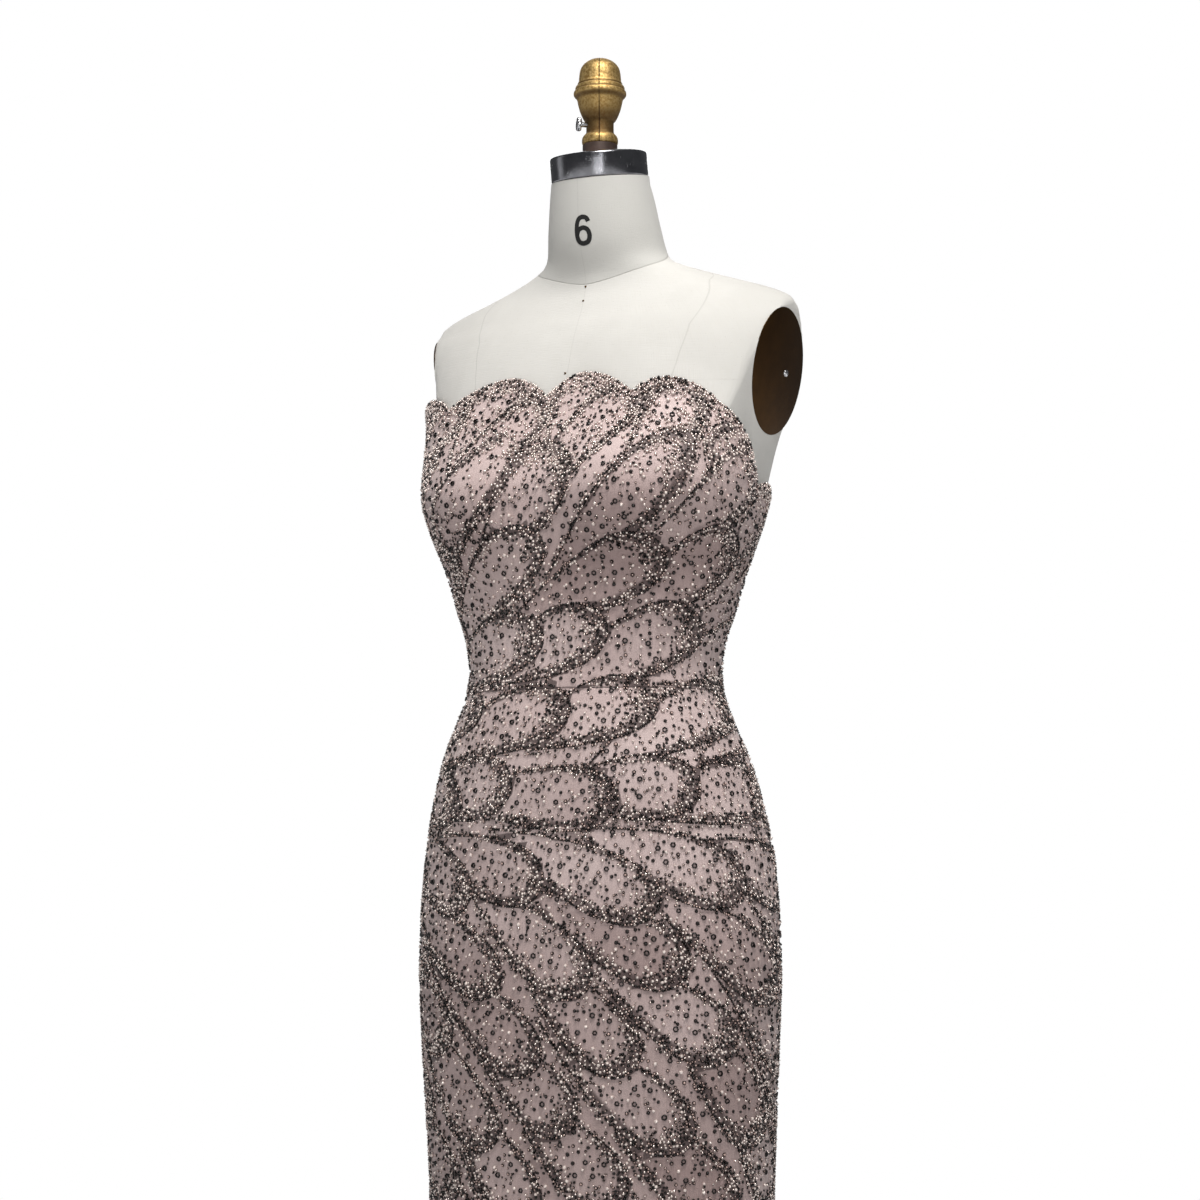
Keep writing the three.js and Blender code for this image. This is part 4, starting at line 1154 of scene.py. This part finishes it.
def neckNumber():
    line = np.array(sizeMark["line"])
    along = np.concatenate([[0], np.cumsum(np.linalg.norm(np.diff(line, axis=0), axis=1))])
    at = np.linspace(0, along[-1], 90)
    spots = np.stack([curveThrough(along, line[:, i])(at) for i in (0, 1)], 1)
    run = np.gradient(spots, axis=0)
    run /= np.linalg.norm(run, axis=1, keepdims=True)
    aside = np.stack([-run[:, 1], run[:, 0]], 1) * sizeMark["stroke"] / 2
    bm = bmesh.new()
    rings = []
    for spot, off in zip(spots, aside):
        ring = []
        for side, out in ((1, -0.3), (1, sizeMark["stand"]), (-1, sizeMark["stand"]), (-1, -0.3)):
            x, y = (spot + off * side) * sizeMark["tall"]
            h = sizeMark["h"] + y - sizeMark["tall"] / 2
            deg = sizeMark["deg"] + x / 54 / perDegree
            ring.append(bm.verts.new(formPoint(deg, h, out) * mm))
        rings.append(ring)
    for first, second in zip(rings, rings[1:]):
        for k in range(4):
            bm.faces.new((first[k], first[(k + 1) % 4], second[(k + 1) % 4], second[k]))
    bm.faces.new(rings[0])
    bm.faces.new(rings[-1])
    return addObject("form_size_number", meshFrom(bm, "form_size_number"), "ink")


neckNumber()


def canvasPins():
    # three small pins pushed into the canvas at centre front
    for index, (deg, h) in enumerate(((-0.5, 386), (-0.8, 371.5), (-2, 297))):
        bm = spun("pin", [(0, -1), (0.9, -1), (1.1, -0.2), (1.1, 0.3), (0.8, 0.8), (0.4, 1), (0, 1.05)], 16)
        base = Vector(formPoint(deg, h) * mm)
        normal = base - Vector((0, base.y * 0.2, base.z))
        place = Matrix.Translation(base) @ normal.to_track_quat("Z", "Y").to_matrix().to_4x4()
        bmesh.ops.transform(bm, matrix=place, verts=bm.verts[:])
        addObject(f"form_pin_{index}", meshFrom(bm, "pin"), "gold")


canvasPins()


def neckFittings():
    cap = [(0, 0), (45.8, 0), (46.7, 0.4), (47, 1.4), (47, 21.4), (46.7, 22.8), (45.8, 23.8), (44.2, 24.3), (0, 24.3)]
    bm = spun("cap", cap, 96)
    bmesh.ops.transform(bm, matrix=neckFrame(0.3), verts=bm.verts[:])
    piece = addObject("form_neck_cap_turned", meshFrom(bm, "cap", 50), "darkSteel")
    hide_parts("form_neck_cap")
    bm = spun("bush", [(0, 0), (16.8, 0), (16.8, 14.4), (16.2, 15), (0, 15)], 64, 1584.6)
    slope = neckFrame(24.9)
    cut = bmesh.ops.bisect_plane(
        bm, geom=bm.verts[:] + bm.edges[:] + bm.faces[:], dist=1e-7,
        plane_co=slope.translation, plane_no=slope.to_3x3() @ Vector((0, 0, 1)), clear_inner=True,
    )
    bmesh.ops.contextual_create(bm, geom=[e for e in cut["geom_cut"] if isinstance(e, bmesh.types.BMEdge)])
    piece = addObject("form_bush_turned", meshFrom(bm, "bush"), "bush")
    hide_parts("form_bush")
    finial = [
        (0, 0), (16.2, 0), (17, 0.7), (17.4, 2), (17.4, 4.4), (17.2, 6), (16.5, 7.6), (15.4, 9), (14, 10.4), (13.5, 11.2),
        (13.3, 12.6), (13.2, 17), (13.3, 21.6), (13.5, 22.6), (14.6, 23.2), (15.4, 24.2), (16.6, 26.4), (18, 29.4),
        (19.5, 33.4), (20.5, 37), (21.2, 40), (21.8, 43), (22.5, 45.2), (23.6, 46.6), (24.8, 47.8), (25.4, 49),
        (25.5, 50.2), (25.2, 51.6), (24.6, 52.6), (23.9, 53.2), (23.8, 54), (23.9, 55.2), (23.5, 56.6), (22.6, 57.6),
        (21.9, 58), (21.8, 58.8), (21.6, 60), (20.9, 61), (20.5, 62.6), (20.2, 66), (19.8, 70), (19.2, 73), (18, 76),
        (16, 78.8), (13.2, 81.2), (9.6, 83.2), (5, 84.6), (0, 85),
    ]
    bm = spun("finial", finial, 72, 1599.9)
    mesh = meshFrom(bm, "finial", 60)
    points = readPoints(mesh) / mm
    radius, up = np.hypot(points[:, 0], points[:, 1]), points[:, 2] - 1599.9
    hull = np.interp(up, [0, 4, 50, 73, 85], [17.4, 17.4, 25.5, 19.2, 0])
    hollow = smooth(0, 5, hull - radius) * (up < 62) * 0.8 + smooth(0.9, 0, np.abs(up - 53.6)) + smooth(0.9, 0, np.abs(up - 58.6))
    hollow += 0.7 * smooth(4, 0, np.abs(up - 47))
    turn = np.abs(np.degrees(np.arctan2(points[:, 0], -points[:, 1])) - 24)
    addNumbers(mesh, "hollow", np.clip(hollow, 0, 1))
    addNumbers(mesh, "partingAway", np.clip(turn * perDegree * radius, 0, 20))
    piece = addObject("form_finial_cast", mesh, "gold")
    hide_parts("form_finial")


def clampScrew():
    # a knurled head on a short shank, out of the finial's neck
    head = [
        (0, 0), (2.5, 0), (2.6, 0.4), (2.6, 11.4), (5, 11.6), (6, 12), (6.5, 12.7), (6.6, 13.4), (6.6, 14.9), (6.3, 15.6),
        (5.4, 16.1), (3, 16.3), (0, 16.3),
    ]
    bm = spun("clamp", head, 40, 7)
    for vert in bm.verts:
        r = math.hypot(vert.co.x, vert.co.y)
        if r > 0.0062:
            turn = math.atan2(vert.co.y, vert.co.x)
            vert.co.x *= 1 - 0.035 * (1 + math.cos(turn * 20))
            vert.co.y *= 1 - 0.035 * (1 + math.cos(turn * 20))
    outwards = Matrix.Rotation(-50 * perDegree, 4, "Z") @ Matrix.Rotation(math.pi / 2, 4, "X")
    place = Matrix.Translation((0, 0, (figure["waist"] + 549) * mm)) @ outwards
    bmesh.ops.transform(bm, matrix=place, verts=bm.verts[:])
    piece = addObject("form_clamp_screw_knurled", meshFrom(bm, "clamp"), "platedSteel", "clamp_screw")
    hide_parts("form_clamp_screw")


def armPlates():
    bottom, thick = armPlate["bottom"] * mm, armPlate["thick"] * mm
    for sign, side in ((1, "left"), (-1, "right")):
        arm = armholeFrame(sign)
        bm = bmesh.new()
        bmesh.ops.create_circle(bm, cap_ends=True, segments=72, radius=mm)
        bmesh.ops.scale(bm, vec=(armPlate["halfWide"], armPlate["halfHigh"], 1), verts=bm.verts[:])
        lean = Matrix.Rotation(sign * armPlate["lean"] * perDegree, 3, "Z")
        bmesh.ops.rotate(bm, cent=(0, 0, 0), matrix=lean, verts=bm.verts[:])
        raised = bmesh.ops.extrude_face_region(bm, geom=bm.faces[:])["geom"]
        bmesh.ops.translate(bm, vec=(0, 0, thick), verts=[v for v in raised if isinstance(v, bmesh.types.BMVert)])
        rim = [e for e in bm.edges if min(v.co.z for v in e.verts) > thick / 2 and len(e.link_faces) == 2]
        bmesh.ops.bevel(
            bm, geom=rim, offset=armPlate["edge"] * mm, offset_type="OFFSET", segments=3, profile=0.5,
            affect="EDGES", material=-1,
        )
        bmesh.ops.translate(bm, vec=(0, 0, bottom), verts=bm.verts[:])
        bmesh.ops.transform(bm, matrix=arm, verts=bm.verts[:])
        piece = addObject(f"form_arm_plate_{side}_oval", meshFrom(bm, "plate"), "bronze")
        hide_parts(f"form_arm_plate_{side}")
        screw = [(0, 0), (3.3, 0), (3.4, 0.3), (3.1, 0.9), (2.4, 1.35), (1.5, 1.58), (0.8, 1.6), (0.7, 0.9), (0, 0.8)]
        bm = spun("screw", screw, 24, armPlate["bottom"] + armPlate["thick"] + 0.1)
        bmesh.ops.translate(bm, vec=(sign * armPlate["screwBack"] * mm, 0, 0), verts=bm.verts[:])
        bmesh.ops.transform(bm, matrix=arm, verts=bm.verts[:])
        piece = addObject(f"form_arm_screw_{side}_domed", meshFrom(bm, "screw"), "platedSteel")
        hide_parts(f"form_arm_screw_{side}")


def stand():
    base = [
        (0, 0), (153.5, 0), (154.6, 0.6), (155, 1.6), (155, 4), (154.2, 5.4), (151, 7.8), (146, 9.2), (110, 10.6), (60, 12.2),
        (44, 13), (37, 14.6), (32.4, 18.4), (30, 24), (27.6, 36), (26.4, 44.4), (25.4, 45.7), (24, 46), (15.4, 46),
        (14.3, 45), (14.3, 20), (0, 20),
    ]
    piece = addObject("form_base_cast", meshFrom(spun("base", base, 96), "base", 35), "darkPaint")
    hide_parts("form_base")
    pole = [(0, 20.3), (13.4, 20.3), (14, 21), (14, 779), (13.4, 779.7), (0, 779.7)]
    piece = addObject("form_pole_tube", meshFrom(spun("pole", pole, 40), "pole"), "platedSteel")
    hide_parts("form_pole")


neckFittings()
clampScrew()
armPlates()
stand()
print("dress form made")


# ---- zip

zipPlan = {"pitch": 1.7, "tooth": (1.9, 1.1, 1.0), "tapeHalf": 2.15, "thick": 1.2, "topDrop": 2}


def backZip():
    topH, bottomH = float(topAt(180.0)) - zipPlan["topDrop"], -148
    rows = 60
    tape = gridMesh("back_zip_tape", 4, rows)
    share = readPoints(tape)
    h = bottomH + (topH - bottomH) * share[:, 1]
    x = (share[:, 0] - 0.5) * 2 * zipPlan["tapeHalf"]
    y = gownPoint(180.0, h, zipPlan["thick"] - 0.25 * np.abs(x) / 2)[:, 1]
    writePoints(tape, np.stack([x, y, figure["waist"] + h], 1) * mm)
    addNumbers(tape, "clothPlace", np.stack([x, h, np.zeros(len(h))], 1) * mm)
    for label, value in (("petalEdge", 30), ("overEdge", 30), ("bandWide", 5), ("seamAway", 20)):
        addNumbers(tape, label, np.full(len(h), value))
    addNumbers(tape, "petalTone", np.full(len(h), 0.7))
    piece = addObject("back_zip_tape", tape, "net")
    wall = piece.modifiers.new("wall", "SOLIDIFY")
    wall.thickness, wall.offset = 0.8 * mm, 1
    bm = bmesh.new()
    bmesh.ops.create_cube(bm, size=1)
    bmesh.ops.bevel(bm, geom=bm.edges[:], offset=0.18, segments=1, profile=0.5, affect="EDGES", material=-1)
    bmesh.ops.triangulate(bm, faces=bm.faces[:])
    bmesh.ops.recalc_face_normals(bm, faces=bm.faces[:])
    points, faces, _ = shapeOf(bm, None)
    count = int((topH - bottomH - 4) / zipPlan["pitch"] * 2)
    k = np.arange(count)
    h = bottomH + 2 + k * zipPlan["pitch"] / 2
    x = np.where(k % 2 == 0, -0.55, 0.55)
    y = gownPoint(180.0, h, zipPlan["thick"] + 0.35)[:, 1]
    centres = np.stack([x, y, figure["waist"] + h], 1)
    corners = points[None] * np.array(zipPlan["tooth"]) + centres[:, None]
    index = faces[None] + k[:, None, None] * len(points)
    teeth = bpy.data.meshes.new("back_zip_teeth")
    teeth.vertices.add(count * len(points))
    teeth.loops.add(index.size)
    teeth.polygons.add(count * len(faces))
    teeth.vertices.foreach_set("co", (corners * mm).astype(np.float32).ravel())
    teeth.loops.foreach_set("vertex_index", index.astype(np.int32).ravel())
    teeth.polygons.foreach_set("loop_start", np.arange(0, index.size, 3, dtype=np.int32))
    teeth.update(calc_edges=True)
    coil = addObject("back_zip_teeth", teeth, "zip")
    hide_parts("back_zip")
    return piece, coil


backZip()
for node in ("zip_slider", "zip_pull_tab"):
    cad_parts[node].data.materials.clear()
    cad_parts[node].data.materials.append(finishes["zip"])
print("zip made")


# ---- stage, light and camera

stage = {
    "floorRadius": 9.0, "lens": 79.5, "sensor": 36.0, "distance": 2.5, "azimuth": 27.0, "height": 0.924, "pitch": 5.389,
}


def areaLight(name, at, aim, size, power, colour=(1, 1, 1)):
    data = bpy.data.lights.new(name, "AREA")
    data.shape, data.size, data.size_y, data.energy, data.color = "RECTANGLE", size[0], size[1], power, colour
    lamp = bpy.data.objects.new(name, data)
    bpy.context.scene.collection.objects.link(lamp)
    lamp.location = at
    lamp.rotation_euler = (Vector(aim) - Vector(at)).to_track_quat("-Z", "Y").to_euler()
    return lamp


def makeStage():
    bm = bmesh.new()
    bmesh.ops.create_circle(bm, cap_ends=True, segments=96, radius=stage["floorRadius"])
    mesh = bpy.data.meshes.new("floor")
    bm.to_mesh(mesh)
    bm.free()
    floor = bpy.data.objects.new("floor", mesh)
    bpy.context.scene.collection.objects.link(floor)
    f = Finish("paleFloor")
    away = f.node("ShaderNodeVectorMath", {"operation": "LENGTH"}, {0: f.place()}, "Value")
    far = f.fade(away, 1.0, 3.2)
    f.done(Base_Color=f.blend(far, paint(238, 238, 238), paint(246, 246, 246)), Roughness=0.9)
    principled = [n for n in f.tree.nodes if n.type == "BSDF_PRINCIPLED"][0]
    glow = f.node("ShaderNodeEmission", {}, {"Color": (1, 1, 1, 1), "Strength": 1.0}, "Emission")
    mix = f.node("ShaderNodeMixShader", {}, {0: far, 1: Wire(f, principled.outputs[0]), 2: glow}, 0)
    output = [n for n in f.tree.nodes if n.type == "OUTPUT_MATERIAL"][0]
    f.tree.links.new(mix.socket, output.inputs["Surface"])
    mesh.materials.append(f.material)

    world = bpy.data.worlds.new("studio")
    bpy.context.scene.world = world
    world.use_nodes = True
    tree = world.node_tree
    tree.nodes.clear()
    seen = tree.nodes.new("ShaderNodeLightPath")
    bright, dim = tree.nodes.new("ShaderNodeBackground"), tree.nodes.new("ShaderNodeBackground")
    bright.inputs["Color"].default_value, bright.inputs["Strength"].default_value = (1, 1, 1, 1), 1.0
    dim.inputs["Color"].default_value, dim.inputs["Strength"].default_value = (0.95, 0.97, 1, 1), 0.12
    mix, output = tree.nodes.new("ShaderNodeMixShader"), tree.nodes.new("ShaderNodeOutputWorld")
    tree.links.new(seen.outputs["Is Camera Ray"], mix.inputs[0])
    tree.links.new(dim.outputs[0], mix.inputs[1])
    tree.links.new(bright.outputs[0], mix.inputs[2])
    tree.links.new(mix.outputs[0], output.inputs["Surface"])

    areaLight("key", (0.6, -0.85, 3.1), (0, 0, 1.3), (0.8, 0.8), 50, (1, 0.985, 0.965))
    areaLight("strip", (1.75, -2.75, 1.6), (0, 0, 1.3), (0.12, 2.2), 6)
    areaLight("low", (1.3, -2.95, 1.1), (0, 0, 0.9), (1.1, 1.4), 9)
    areaLight("back", (-1.2, 2.3, 2.6), (0, 0, 1.1), (1.4, 1.6), 22)
    areaLight("side", (-2.4, -0.6, 1.9), (0, 0, 1.1), (0.7, 1.8), 3)
    bpy.context.scene.view_settings.view_transform = "Standard"

    data = bpy.data.cameras.new("photoView")
    data.lens, data.sensor_width, data.sensor_fit = stage["lens"], stage["sensor"], "HORIZONTAL"
    data.clip_start, data.clip_end = 0.05, 60
    camera = bpy.data.objects.new("photoView", data)
    bpy.context.scene.collection.objects.link(camera)
    turn = stage["azimuth"] * perDegree
    camera.location = (stage["distance"] * math.sin(turn), -stage["distance"] * math.cos(turn), stage["height"])
    camera.rotation_euler = (math.pi / 2 + stage["pitch"] * perDegree, 0, turn)
    bpy.context.scene.camera = camera


makeStage()
print("stage made")
